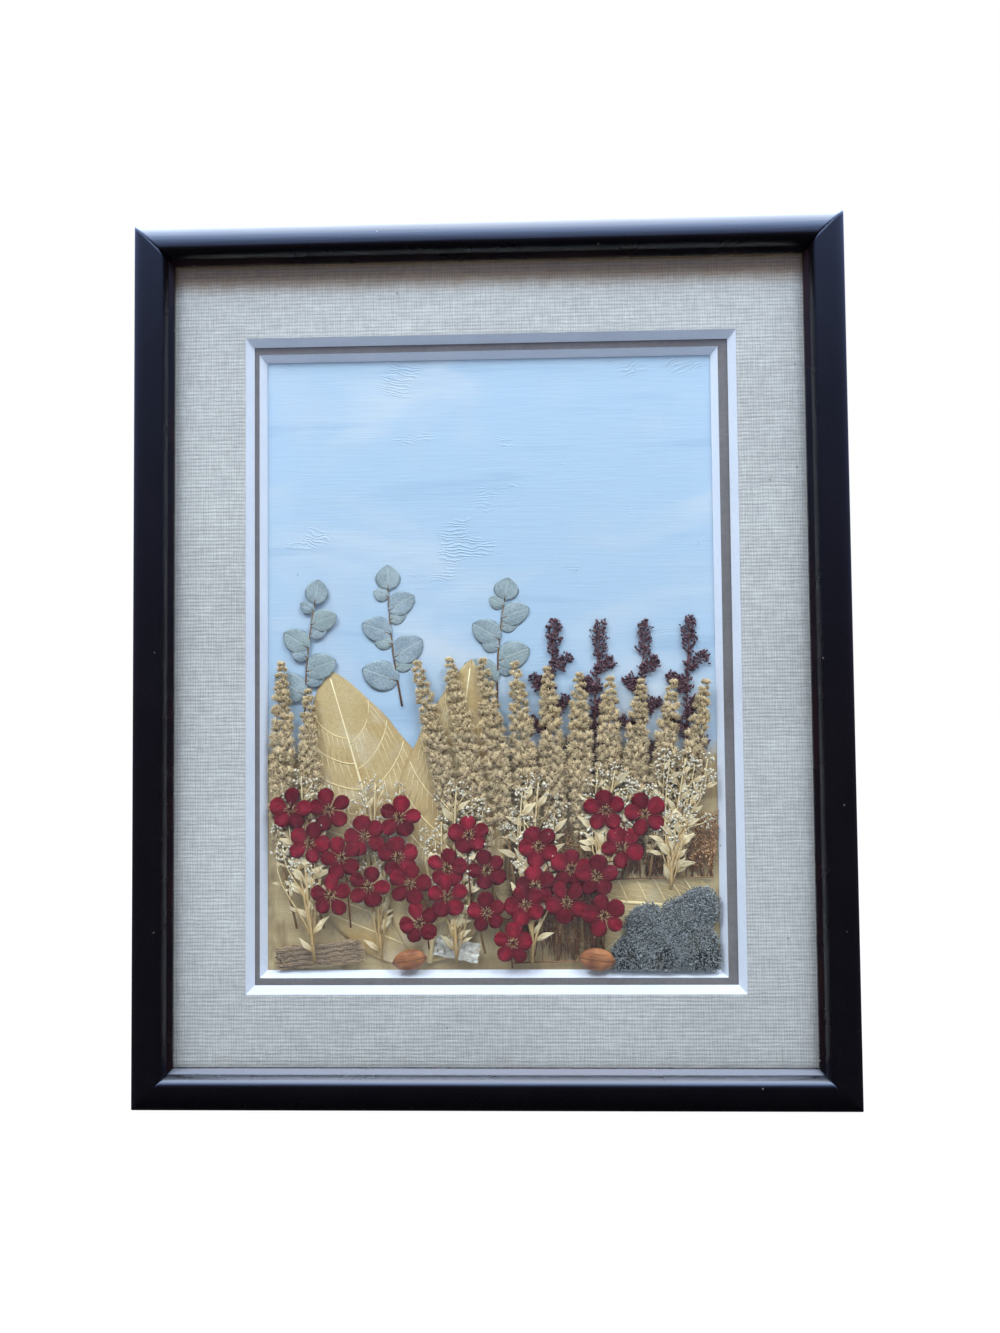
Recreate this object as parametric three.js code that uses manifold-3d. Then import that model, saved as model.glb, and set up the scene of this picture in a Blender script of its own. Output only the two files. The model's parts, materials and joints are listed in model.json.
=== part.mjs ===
// Pressed flower frame: dried plants on a painted card, under two window mats and glass, in a
// mitred wood frame with a rounded front that hangs from a sawtooth plate on its back.
//
// Everything is drawn as it faces the viewer: x to the right, y up, z out of the wall towards
// the viewer, in millimetres. The last group turns it so that +Z is up and the front faces -Y.
import * as THREE from 'three';
import { mergeVertices } from 'three/addons/utils/BufferGeometryUtils.js';
import Module from 'manifold-3d';

// Frame moulding
const frameWidth = 303.4;
const frameHeight = 375.6;
const frameDepth = 26;
const railWidth = 17.7;
const crestAcross = 10;
const innerRound = 6.2;
const roundDepth = 8;
const lipTop = 20.7;
const lipEdge = 19.2;
const lipBack = 18.2;
const rebateEdge = 11.2;
const mitreGap = 0.22;

// Stack in the rebate, from back to front
const gap = 0.3;
const backingBack = 4.6;
const backingFront = 7;
const boardFront = 8.8;
const innerMatFront = 12.1;
const outerMatFront = 15.6;
const glassBack = outerMatFront + gap;
const glassFront = glassBack + 2;
const sheetClearance = 0.8;

// Mat windows: front edges, rear edges and how far the centre sits from the frame's centre
const outerWindow = { width: 210.2, height: 280.1, x: 0.95, y: -0.9 };
const innerWindow = { width: 198.1, height: 268.2, x: -0.1, y: -0.95 };
const outerBevel = 3.15;
const innerBevel = 2.85;

// Hanger and framing points
const notchDrop = 9;
const plateLength = 44;
const plateHeight = 8;
const plateThickness = 0.8;
const plateBow = 1.2;
// An odd number of notches, so that the middle one is over the frame's centre
const toothCount = 7;
const toothHeight = 1.3;
const hangerNail = { spacing: 38, shank: 0.6, head: 1.9, length: 9 };
const pointTab = { width: 7, length: 14, thickness: 0.5, bite: 5 };

// Layers of the plants, from the board outwards: rear and front of each
const layer = {
  board: [boardFront + gap, 9.6],
  second: [9.95, 10.45],
  thick: [boardFront + gap, 10.5],
  twigs: [9.9, 10.6],
  spike: [10.9, 13.0],
  lowSpray: [10.9, 11.5],
  spray: [13.35, 13.95],
  pod: [10.9, 15.4],
  bark: [9.95, 11.7],
  flake: [10.9, 11.8],
  moss: [9.9, 14],
  headLow: [14.25, 14.8],
  headHigh: [15.1, 15.6],
};

const wasm = await Module();
wasm.setup();

const finishes = {
  lacquer: { color: '#1c181c', roughness: 0.32, metalness: 0 },
  glass: { color: '#eef4f2', roughness: 0.03, metalness: 0 },
  linen: { color: '#c9c5bb', roughness: 0.9, metalness: 0 },
  taupe: { color: '#7d746d', roughness: 0.85, metalness: 0 },
  painted: { color: '#b4d3ee', roughness: 0.6, metalness: 0 },
  hardboard: { color: '#7a5b3f', roughness: 0.8, metalness: 0 },
  steel: { color: '#b9b6ae', roughness: 0.35, metalness: 1 },
  straw: { color: '#c9b586', roughness: 0.75, metalness: 0 },
  greyGreen: { color: '#8b9c99', roughness: 0.7, metalness: 0 },
  purple: { color: '#4c2c36', roughness: 0.8, metalness: 0 },
  tan: { color: '#b89e6c', roughness: 0.9, metalness: 0 },
  silver: { color: '#cfc8b0', roughness: 0.85, metalness: 0 },
  crimson: { color: '#74121f', roughness: 0.6, metalness: 0 },
  russet: { color: '#7c5a45', roughness: 0.9, metalness: 0 },
  moss: { color: '#6e7873', roughness: 0.95, metalness: 0 },
  bark: { color: '#93806a', roughness: 0.9, metalness: 0 },
  birch: { color: '#dcd8cc', roughness: 0.75, metalness: 0 },
  pod: { color: '#8a5530', roughness: 0.45, metalness: 0 },
};

const body = new THREE.Group();
body.position.y = notchDrop - frameHeight / 2;

// The plants are placed from the middle of the picture opening's bottom edge
const picture = new THREE.Group();
picture.position.set(innerWindow.x, innerWindow.y - innerWindow.height / 2 + innerBevel, 0);
body.add(picture);

function addPiece(parent, name, geometry, finish) {
  geometry.computeVertexNormals();
  const mesh = new THREE.Mesh(geometry, new THREE.MeshStandardMaterial(finishes[finish]));
  mesh.name = name;
  parent.add(mesh);
  return mesh;
}

// A closed mesh with shared vertices, as a solid that can be joined and cut
function toSolid(geometry) {
  const bare = geometry.clone();
  bare.deleteAttribute('normal');
  bare.deleteAttribute('uv');
  const merged = mergeVertices(bare, 1e-4);
  return new wasm.Manifold(new wasm.Mesh({
    numProp: 3,
    vertProperties: Float32Array.from(merged.attributes.position.array),
    triVerts: Uint32Array.from(merged.index.array),
  }));
}

function toGeometry(solid) {
  const mesh = solid.getMesh();
  const geometry = new THREE.BufferGeometry();
  geometry.setAttribute('position', new THREE.BufferAttribute(mesh.vertProperties, 3));
  geometry.setIndex(new THREE.BufferAttribute(mesh.triVerts, 1));
  return geometry;
}

function fuse(geometries) {
  let solid = toSolid(geometries[0]);
  for (const geometry of geometries.slice(1)) {
    solid = solid.add(toSolid(geometry));
  }
  return toGeometry(solid);
}

function cut(geometry, tools) {
  let solid = toSolid(geometry);
  for (const tool of tools) {
    solid = solid.subtract(toSolid(tool));
  }
  return toGeometry(solid);
}

// A flat piece with the given outline, from the rear to the front of its layer
function slab(outline, back, front) {
  const geometry = new THREE.ExtrudeGeometry(new THREE.Shape(outline), {
    depth: front - back,
    bevelEnabled: false,
  });
  geometry.translate(0, 0, back);
  return geometry;
}

function block(width, height, back, front, x = 0, y = 0) {
  const geometry = new THREE.BoxGeometry(width, height, front - back);
  geometry.translate(x, y, (back + front) / 2);
  return geometry;
}

// A three-sided stalk along a smooth line through the points
function stalk(points, radius, middle, steps = 3) {
  const path = new THREE.CatmullRomCurve3(points.map(([x, y]) => new THREE.Vector3(x, y, middle)));
  const ring = [];
  for (let i = 0; i < 3; i += 1) {
    const angle = 0.4 + (i / 3) * Math.PI * 2;
    ring.push(new THREE.Vector2(radius * Math.cos(angle), radius * Math.sin(angle)));
  }
  return new THREE.ExtrudeGeometry(new THREE.Shape(ring), {
    steps,
    bevelEnabled: false,
    extrudePath: path,
  });
}

// The line that a specimen grows along, bowed sideways, with points along and across it
function growth(foot, tip, bow = 0) {
  const start = new THREE.Vector2(...foot);
  const axis = new THREE.Vector2(...tip).sub(start);
  const side = new THREE.Vector2(-axis.y, axis.x).normalize();
  return {
    length: axis.length(),
    angle: Math.atan2(axis.y, axis.x) - Math.PI / 2,
    at(along, across = 0) {
      const shift = across + bow * Math.sin(Math.PI * along);
      const point = start.clone().addScaledVector(axis, along).addScaledVector(side, shift);
      return [point.x, point.y];
    },
  };
}

// The stem of a growth line, from its foot to the given share of its length
function stem(line, end, radius, middle, steps = 3) {
  const points = [];
  for (let i = 0; i <= steps; i += 1) {
    points.push(line.at((end * i) / steps));
  }
  return stalk(points, radius, middle, steps);
}

// Outline of a blade from foot to tip, as wide at each place as the profile says
function bladeOutline(foot, tip, width, profile, count) {
  const line = growth(foot, tip);
  const right = [];
  const left = [];
  for (let i = 1; i < count; i += 1) {
    const half = (width / 2) * profile(i / count);
    right.push(line.at(i / count, -half));
    left.unshift(line.at(i / count, half));
  }
  return [foot, ...right, tip, ...left].map(([x, y]) => new THREE.Vector2(x, y));
}

const broadLeaf = (t) => Math.sin(Math.PI * t ** 0.72) ** 0.75;
const narrowLeaf = (t) => Math.sin(Math.PI * t ** 0.9);
const rib = (t) => 1 - 0.5 * t;
const roundLeaf = (t) => Math.sin(Math.PI * t ** 0.85) ** 0.6;

// A steady, repeatable unevenness between -1 and 1
const wobble = (i, salt) => Math.sin(i * 12.9898 + salt * 4.1414);

// Frame rails: the moulding's section is drawn with u from the outer edge towards the glass
// and v from the wall to the front, and both ends are then slanted for the mitres
function mouldingSection() {
  const section = new THREE.Shape();
  const centre = frameDepth - roundDepth;
  section.moveTo(0, 0);
  section.lineTo(rebateEdge, 0);
  section.lineTo(rebateEdge, lipBack);
  section.lineTo(railWidth, lipBack);
  section.lineTo(railWidth, lipEdge - gap);
  section.lineTo(railWidth - gap, lipEdge);
  const lipAngle = Math.asin((lipTop - centre) / roundDepth);
  section.absellipse(crestAcross, centre, innerRound, roundDepth, lipAngle, Math.PI / 2, false);
  section.absellipse(crestAcross, centre, crestAcross, roundDepth, Math.PI / 2, Math.PI, false);
  return section;
}

function rail(length, reach, inward) {
  const geometry = new THREE.ExtrudeGeometry(mouldingSection(), {
    depth: length,
    bevelEnabled: false,
    curveSegments: 6,
  });
  const place = geometry.attributes.position;
  for (let i = 0; i < place.count; i += 1) {
    const slant = place.getX(i) + mitreGap;
    place.setZ(i, place.getZ(i) > length / 2 ? length / 2 - slant : slant - length / 2);
  }
  const front = new THREE.Vector3(0, 0, 1);
  const along = new THREE.Vector3().crossVectors(inward, front);
  const stand = new THREE.Matrix4().makeBasis(inward, front, along);
  stand.setPosition(inward.clone().multiplyScalar(-reach));
  return geometry.applyMatrix4(stand);
}

function nailHole(x, y) {
  const radius = hangerNail.shank + gap;
  const hole = new THREE.CylinderGeometry(radius, radius, hangerNail.length + 4, 8);
  hole.rotateX(Math.PI / 2);
  hole.translate(x, y, hangerNail.length / 2 - 3);
  return hole;
}

const plateBottom = frameHeight / 2 - notchDrop - toothHeight;
const nailY = plateBottom + plateHeight / 2;
const nailSides = [-hangerNail.spacing / 2, hangerNail.spacing / 2];

// Framing points: two in each side rail
const pointPlaces = [];
for (const side of [-1, 1]) {
  for (const level of [-0.25, 0.25]) {
    pointPlaces.push({ side, y: level * frameHeight });
  }
}
const rebateX = frameWidth / 2 - rebateEdge;
const pointBack = backingBack - gap - pointTab.thickness;

function pointSlot(place) {
  return block(
    2 * (pointTab.bite + gap),
    pointTab.width + 2 * gap,
    pointBack - gap,
    backingBack,
    place.side * rebateX,
    place.y,
  );
}

function sideRail(side) {
  const plain = rail(frameHeight, frameWidth / 2, new THREE.Vector3(-side, 0, 0));
  return cut(plain, pointPlaces.filter((place) => place.side === side).map(pointSlot));
}

const topRail = rail(frameWidth, frameHeight / 2, new THREE.Vector3(0, -1, 0));
const bottomRail = rail(frameWidth, frameHeight / 2, new THREE.Vector3(0, 1, 0));
addPiece(body, 'frame_rail_top', cut(topRail, nailSides.map((x) => nailHole(x, nailY))), 'lacquer');
addPiece(body, 'frame_rail_bottom', bottomRail, 'lacquer');
addPiece(body, 'frame_rail_left', sideRail(-1), 'lacquer');
addPiece(body, 'frame_rail_right', sideRail(1), 'lacquer');

// Glass, mats and boards, all cut to the rebate
const sheetWidth = frameWidth - 2 * rebateEdge - 2 * sheetClearance;
const sheetHeight = frameHeight - 2 * rebateEdge - 2 * sheetClearance;

function mat(back, front, window, bevel) {
  const tool = new THREE.BufferGeometry();
  const reach = 2;
  const corners = [];
  for (const [depth, inset] of [[back - reach, bevel], [back, bevel], [front, 0], [front + reach, 0]]) {
    const halfWidth = window.width / 2 - inset;
    const halfHeight = window.height / 2 - inset;
    for (const [sx, sy] of [[-1, -1], [1, -1], [1, 1], [-1, 1]]) {
      corners.push(window.x + sx * halfWidth, window.y + sy * halfHeight, depth);
    }
  }
  const faces = [0, 2, 1, 0, 3, 2, 12, 13, 14, 12, 14, 15];
  for (const ring of [0, 4, 8]) {
    for (let i = 0; i < 4; i += 1) {
      const next = (i + 1) % 4;
      faces.push(ring + i, ring + next, ring + 4 + next, ring + i, ring + 4 + next, ring + 4 + i);
    }
  }
  tool.setAttribute('position', new THREE.Float32BufferAttribute(corners, 3));
  tool.setIndex(faces);
  return cut(block(sheetWidth, sheetHeight, back, front), [tool]);
}

addPiece(body, 'glass', block(sheetWidth, sheetHeight, glassBack, glassFront), 'glass');
const outerMat = mat(innerMatFront + gap, outerMatFront, outerWindow, outerBevel);
addPiece(body, 'outer_mat', outerMat, 'linen');
const innerMat = mat(boardFront + gap, innerMatFront, innerWindow, innerBevel);
addPiece(body, 'inner_mat', innerMat, 'taupe');
const artBoard = block(sheetWidth, sheetHeight, backingFront + gap, boardFront);
addPiece(body, 'art_board', artBoard, 'painted');
const backingBoard = block(sheetWidth, sheetHeight, backingBack, backingFront);
addPiece(body, 'backing_board', backingBoard, 'hardboard');

pointPlaces.forEach((place, i) => {
  const outer = rebateX + pointTab.bite - gap;
  const inner = outer - pointTab.length;
  const half = pointTab.width / 2;
  const outline = [
    [inner, -half * 0.4], [inner, half * 0.4], [inner + 4, half],
    [outer, half], [outer, -half], [inner + 4, -half],
  ].map(([x, y]) => new THREE.Vector2(place.side * x, place.y + y));
  const tab = slab(outline, pointBack, pointBack + pointTab.thickness);
  addPiece(body, `framing_point_${i + 1}`, tab, 'steel');
});

// Sawtooth hanger: flat ends nailed to the top rail, the toothed middle bowed out to the wall
function hangerPlate() {
  const half = plateLength / 2;
  const bend = hangerNail.spacing / 2 - 3.5;
  const strip = [
    [-half, 0], [-bend, 0], [-bend + 2.5, -plateBow], [bend - 2.5, -plateBow], [bend, 0], [half, 0],
  ];
  const front = strip.map(([x, z]) => new THREE.Vector2(x, z - gap));
  const back = front.map((point) => new THREE.Vector2(point.x, point.y - plateThickness));
  const plate = new THREE.ExtrudeGeometry(new THREE.Shape([...front, ...back.reverse()]), {
    depth: plateHeight,
    bevelEnabled: false,
  });
  plate.rotateX(Math.PI / 2);
  plate.translate(0, plateBottom + plateHeight, 0);
  const toothedHalf = bend - 4;
  const pitch = (2 * toothedHalf) / toothCount;
  const edge = [new THREE.Vector2(-toothedHalf, -1)];
  for (let i = 0; i < toothCount; i += 1) {
    const left = i * pitch - toothedHalf;
    edge.push(new THREE.Vector2(left, 0), new THREE.Vector2(left + pitch / 2, toothHeight));
  }
  edge.push(new THREE.Vector2(toothedHalf, 0), new THREE.Vector2(toothedHalf, -1));
  const teeth = slab(edge.reverse(), -plateBow - 3, 2);
  teeth.translate(0, plateBottom, 0);
  return cut(plate, [teeth, ...nailSides.map((x) => nailHole(x, nailY))]);
}

addPiece(body, 'hanger_plate', hangerPlate(), 'steel');

nailSides.forEach((x, i) => {
  const { shank, head, length } = hangerNail;
  const profile = [
    [0, -0.9], [head, -0.4], [head, 0], [shank, 0], [shank, length - 1.5], [0, length],
  ].map(([r, along]) => new THREE.Vector2(r, along));
  const nail = new THREE.LatheGeometry(profile, 7);
  nail.rotateX(Math.PI / 2);
  nail.translate(x, nailY, -plateThickness - 2 * gap);
  addPiece(body, `hanger_nail_${i === 0 ? 'left' : 'right'}`, nail, 'steel');
});

// Skeleton leaves: a thin blade with its midrib and side veins standing up on it
function skeletonLeaf({ foot, tip, width }, [back, front]) {
  const line = growth(foot, tip);
  const ribs = [slab(bladeOutline(line.at(-0.02), line.at(0.98), 2, rib, 3), back, front)];
  const veinPairs = 3;
  for (let i = 0; i < veinPairs; i += 1) {
    const root = 0.14 + (0.7 * i) / veinPairs;
    const end = root + 0.18;
    const reach = (width / 2) * broadLeaf(end) * 0.93;
    for (const side of [-1, 1]) {
      const outline = bladeOutline(line.at(root), line.at(end, side * reach), 0.8, rib, 3);
      ribs.push(slab(outline, back, front));
    }
  }
  const blade = slab(bladeOutline(foot, tip, width, broadLeaf, 12), back, front - 0.15);
  return fuse([blade, ...ribs]);
}

const leafPlaces = [
  { foot: [-34, 3], tip: [-70, 128], width: 66, layer: layer.board },
  { foot: [-27, 3], tip: [-8, 132], width: 52, layer: layer.second },
  { foot: [94, 25], tip: [0, 33], width: 46, layer: layer.board },
];
leafPlaces.forEach((place, i) => {
  addPiece(picture, `skeleton_leaf_${i + 1}`, skeletonLeaf(place, place.layer), 'straw');
});

// A small faceted bud, seed or lump, flattened to its layer
function bud([x, y], width, length, depth, middle, angle = 0) {
  const geometry = new THREE.OctahedronGeometry(1, 0);
  geometry.scale(width / 2, length / 2, depth / 2);
  geometry.rotateZ(angle);
  geometry.translate(x, y, middle);
  return geometry;
}

// Sprigs of round leaves
function roundLeafSprig({ foot, tip, leaves, size }, [back, front]) {
  const line = growth(foot, tip, 1.5);
  const pieces = [stem(line, 0.9, 0.24, (back + front) / 2)];
  for (let i = 0; i < leaves; i += 1) {
    const along = 0.18 + (0.68 * i) / leaves;
    const side = i % 2 ? 1 : -1;
    const length = size * (1 - 0.3 * (i / leaves));
    const root = line.at(along, -side * 0.4);
    const end = line.at(along + 0.45 * (length / line.length), side * length * 0.9);
    pieces.push(slab(bladeOutline(root, end, length * 0.86, roundLeaf, 4), back, front));
  }
  const last = bladeOutline(line.at(0.84), line.at(1.02), size * 0.7, roundLeaf, 4);
  pieces.push(slab(last, back, front));
  return fuse(pieces);
}

const roundSprigPlaces = [
  { foot: [-80, 106], tip: [-74, 166], leaves: 4, size: 15, layer: layer.second },
  { foot: [-38, 112], tip: [-44, 172], leaves: 4, size: 16, layer: layer.board },
  { foot: [3, 112], tip: [8, 166], leaves: 4, size: 16, layer: layer.board },
];
roundSprigPlaces.forEach((place, i) => {
  addPiece(picture, `round_leaf_sprig_${i + 1}`, roundLeafSprig(place, place.layer), 'greyGreen');
});

// Bud sprigs: a stem with plumes of small purple buds on both sides
const plumeSlope = 0.9;

function budSprig({ foot, tip, spread }, [back, front], salt) {
  const line = growth(foot, tip, 1);
  const middle = (back + front) / 2;
  const depth = front - back;
  const pieces = [stem(line, 0.9, 0.3, middle, 2)];
  const plumes = 5;
  for (let i = 0; i < plumes; i += 1) {
    const along = 0.18 + (0.6 * i) / plumes;
    const side = i % 2 ? 1 : -1;
    const reach = spread * (1.05 - 0.5 * along + 0.12 * wobble(i, salt));
    const centre = line.at(along + 0.07, (side * reach * Math.sin(plumeSlope)) / 2 - side * 0.3);
    const angle = line.angle + side * plumeSlope;
    pieces.push(bud(centre, 6.5, reach * 1.3, depth, middle, angle));
  }
  pieces.push(bud(line.at(0.88), 7, 18, depth, middle, line.angle));
  return fuse(pieces);
}

const budSprigPlaces = [26, 46, 66, 86].map((x, i) => ({
  foot: [x - 2, 74],
  tip: [x + 2.5 * wobble(i, 2), 158 + 9 * wobble(i, 1)],
  spread: 11.5,
}));
budSprigPlaces.forEach((place, i) => {
  addPiece(picture, `purple_bud_sprig_${i + 1}`, budSprig(place, layer.thick, i), 'purple');
});

// Seed spikes: a thin stalk and a bumpy, pressed seed head
function seedSpike({ foot, neck, tip }, [back, front]) {
  const line = growth(neck, tip);
  const middle = (back + front) / 2;
  const rings = 8;
  const profile = [new THREE.Vector2(0, 0)];
  for (let i = 1; i < rings; i += 1) {
    const t = i / rings;
    const swell = Math.sin(Math.PI * t ** 0.7) ** 0.45 * (i % 2 ? 1 : 0.78);
    profile.push(new THREE.Vector2((spikeWidth / 2) * swell, t * line.length));
  }
  profile.push(new THREE.Vector2(0, line.length));
  const head = new THREE.LatheGeometry(profile, 6, Math.PI / 2);
  const place = head.attributes.position;
  for (let i = 0; i < place.count; i += 1) {
    const ringStep = Math.floor(i / profile.length) % 2;
    const inner = place.getX(i) ** 2 + place.getZ(i) ** 2 > 0.01;
    place.setY(i, place.getY(i) + (inner ? ringStep * (line.length / rings) * 0.5 : 0));
  }
  head.scale(1, 1, (front - back) / spikeWidth);
  head.rotateZ(line.angle);
  head.translate(neck[0], neck[1], middle);
  return fuse([head, stalk([foot, neck, line.at(0.3)], 0.45, middle, 2)]);
}

// Most spikes fan out from a point far below the picture, and two stand by the left edge
const fan = { x: 38, y: -170, first: -13, step: 2.6, count: 10, foot: 182, neck: 221, tip: 302 };
const spikeWidth = 10.6;
const mossLeft = 46;
const mossTop = 38;
const spikePlaces = [];
for (let i = 0; i < fan.count; i += 1) {
  const lean = THREE.MathUtils.degToRad(fan.first + i * fan.step);
  const at = (radius) => [fan.x + radius * Math.sin(lean), fan.y + radius * Math.cos(lean)];
  const overMoss = at(fan.foot + 8)[0] > mossLeft;
  spikePlaces.push({
    foot: at(overMoss ? (mossTop - fan.y) / Math.cos(lean) : fan.foot),
    neck: at(fan.neck + 6 * wobble(i, 3)),
    tip: at(fan.tip + 8 * wobble(i, 5)),
  });
}
for (let i = 0; i < 2; i += 1) {
  const x = -89 + i * 11.5;
  spikePlaces.push({ foot: [x + 6, 18], neck: [x, 44 - 6 * i], tip: [x - 0.6, 132 - 12 * i] });
}
spikePlaces.forEach((place, i) => {
  addPiece(picture, `seed_spike_${i + 1}`, seedSpike(place, layer.spike), 'tan');
});

// Silvery sprays: a forked stem with narrow leaves and clusters of pale buds at its ends
function silverSpray({ foot, tip, spread }, [back, front], salt) {
  const line = growth(foot, tip, 1.2);
  const middle = (back + front) / 2;
  const depth = front - back;
  const pieces = [stem(line, 0.93, 0.28, middle, 2)];
  const forks = 3;
  for (let i = 0; i < forks; i += 1) {
    const along = 0.32 + (0.5 * i) / forks;
    const side = i % 2 ? 1 : -1;
    const reach = side * spread * (0.9 - 0.4 * along + 0.1 * wobble(i, salt));
    const end = line.at(along + 0.2, reach);
    pieces.push(stalk([line.at(along), end], 0.22, middle, 1));
    pieces.push(bud(end, 6.5, 6.5, depth, middle, i));
    const leafEnd = line.at(along - 0.08, -side * spread * 0.6);
    pieces.push(slab(bladeOutline(line.at(along - 0.2), leafEnd, 2.8, narrowLeaf, 2), back, front));
  }
  pieces.push(bud(line.at(0.95), 7.5, 7.5, depth, middle, 0.4));
  return fuse(pieces);
}

const sprayPlaces = [-80, -50, -16, 18, 50, 80].map((x, i) => ({
  layer: x === -50 ? layer.lowSpray : layer.spray,
  foot: [x * 0.94, x > mossLeft ? mossTop - 4 : 4],
  tip: [x + 3 * wobble(i, 6), 96 + 14 * wobble(i, 7)],
  spread: 15,
}));
sprayPlaces.forEach((place, i) => {
  addPiece(picture, `silver_spray_${i + 1}`, silverSpray(place, place.layer, i), 'silver');
});

// Floret heads: three overlapping five-petalled florets on one stalk
const floretRadius = 9.3;
const floretOffset = 9.6;

function floretOutline([x, y], radius, turn) {
  const lobe = [[-0.5, 0.36], [-0.27, 0.92], [0, 1], [0.27, 0.92]];
  const points = [];
  for (let petal = 0; petal < 5; petal += 1) {
    for (const [step, reach] of lobe) {
      const angle = turn + (petal + step) * ((2 * Math.PI) / 5);
      const r = radius * reach;
      points.push(new THREE.Vector2(x + r * Math.cos(angle), y + r * Math.sin(angle)));
    }
  }
  return points;
}

function floretHead({ x, y, turn }, [back, front]) {
  const pieces = [];
  const step = (front - back) / 4;
  for (let i = 0; i < 3; i += 1) {
    const angle = turn + (i * 2 * Math.PI) / 3;
    const centre = [x + floretOffset * Math.cos(angle), y + floretOffset * Math.sin(angle)];
    const outline = floretOutline(centre, floretRadius + 0.4 * wobble(i, turn), turn + i);
    const low = back + i * step;
    pieces.push(slab(outline, low, low + 2 * step));
  }
  pieces.push(stalk([[x, y], [x + 1.5, y - 20]], 0.2, back + 0.24, 1));
  return fuse(pieces);
}

const headPlaces = [
  [-77, 64], [-61, 39], [-44, 57], [-28, 30], [-10, 48], [7, 22], [24, 44], [41, 31], [56, 62],
];
headPlaces.forEach(([x, y], i) => {
  const place = { x, y, turn: 0.5 + 1.3 * i };
  const level = i % 2 ? layer.headHigh : layer.headLow;
  addPiece(picture, `red_floret_head_${i + 1}`, floretHead(place, level), 'crimson');
});

// Undergrowth: russet twigs standing in a low thicket behind the spikes' stalks
function thicket({ left, right, bottom, top }, [back, front], salt) {
  const middle = (back + front) / 2;
  const radius = (front - back) / 2 - 0.05;
  const pieces = [stalk([[left, bottom], [right, bottom + 1]], radius, middle, 1)];
  const twigs = 6;
  for (let i = 0; i < twigs; i += 1) {
    const x = left + 2 + ((right - left - 4) * i) / (twigs - 1);
    const tip = [x + 2.5 * wobble(i, salt), top * (0.84 + 0.15 * wobble(i, salt + 1))];
    const root = [x, bottom + (x - left) / (right - left)];
    pieces.push(stalk([root, tip], radius * 0.9, middle, 1));
    pieces.push(bud(tip, 3.6, 9, front - back, middle));
  }
  return fuse(pieces);
}

const thicketPlaces = {
  left: { left: 9, right: 48, bottom: 3, top: 58 },
  right: { left: 50, right: 94, bottom: mossTop, top: 66 },
};
Object.entries(thicketPlaces).forEach(([side, place], i) => {
  addPiece(picture, `undergrowth_${side}`, thicket(place, layer.twigs, 1 + 3 * i), 'russet');
});

// Moss cushion: low lumps grown together, flat where they lie on the leaf and beside it
function mossCushion(lumps, [back, front]) {
  const rise = front - back;
  let solid = null;
  lumps.forEach(([x, y, radius], i) => {
    const lump = new THREE.IcosahedronGeometry(radius, 0);
    lump.scale(1, 1, rise / radius);
    lump.rotateZ(i);
    lump.translate(x, y, back);
    solid = solid ? solid.add(toSolid(lump)) : toSolid(lump);
  });
  const half = mossTop / 2;
  const corner = (innerWindow.width / 2 - innerBevel) - 2 * gap;
  const space = block(2 * mossTop, mossTop, back, front + gap, corner - mossTop, half + gap);
  return toGeometry(solid.intersect(toSolid(space)));
}

const mossLumps = [
  [87, 7, 11], [73, 8, 12], [59, 6, 9], [81, 19, 12], [66, 18, 10], [88, 26, 9],
];
addPiece(picture, 'moss_cushion', mossCushion(mossLumps, layer.moss), 'moss');

// Fallen bits at the foot: a ridged bark strip, a curled white flake and two pods
function barkStrip([x, y], length, width, angle, [back, front]) {
  const ridges = 5;
  const section = [new THREE.Vector2(-width / 2, back)];
  section.push(new THREE.Vector2(width / 2, back));
  for (let i = 0; i <= 2 * ridges; i += 1) {
    const across = width / 2 - (width * i) / (2 * ridges);
    section.push(new THREE.Vector2(across, i % 2 ? front : back + 0.5 * (front - back)));
  }
  const strip = new THREE.ExtrudeGeometry(new THREE.Shape(section), {
    depth: length,
    bevelEnabled: false,
    steps: 1,
  });
  strip.translate(0, 0, -length / 2);
  strip.applyMatrix4(new THREE.Matrix4().makeBasis(
    new THREE.Vector3(0, 1, 0),
    new THREE.Vector3(0, 0, 1),
    new THREE.Vector3(1, 0, 0),
  ));
  strip.rotateZ(angle);
  strip.translate(x, y, 0);
  return strip;
}

const barkGeometry = barkStrip([-74, 7], 38, 10, 0.1, layer.bark);
addPiece(picture, 'bark_strip', barkGeometry, 'bark');
const flakeGeometry = barkStrip([-15, 9], 20, 9, -0.2, layer.flake);
addPiece(picture, 'birch_flake', flakeGeometry, 'birch');

function pod([x, y], length, width, angle, [back, front]) {
  const profile = [];
  const rings = 6;
  for (let i = 0; i <= rings; i += 1) {
    const t = i / rings;
    profile.push(new THREE.Vector2((width / 2) * Math.sin(Math.PI * t) ** 0.7, (t - 0.5) * length));
  }
  profile[0].x = 0;
  profile[rings].x = 0;
  const geometry = new THREE.LatheGeometry(profile, 8);
  geometry.scale(1, 1, (front - back) / width);
  geometry.rotateZ(angle);
  geometry.translate(x, y, (back + front) / 2);
  return geometry;
}

addPiece(picture, 'seed_pod_1', pod([44, 5], 16, 9.5, 1.45, layer.pod), 'pod');
addPiece(picture, 'seed_pod_2', pod([-35, 5], 15, 8.5, 1.75, layer.pod), 'pod');

// Stood up: y becomes height and the front faces -Y
const part = new THREE.Group();
part.rotation.x = Math.PI / 2;
part.add(body);

export default part;
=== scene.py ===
import json
import math

import bpy
import numpy as np
from mathutils import Matrix, Vector

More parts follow.
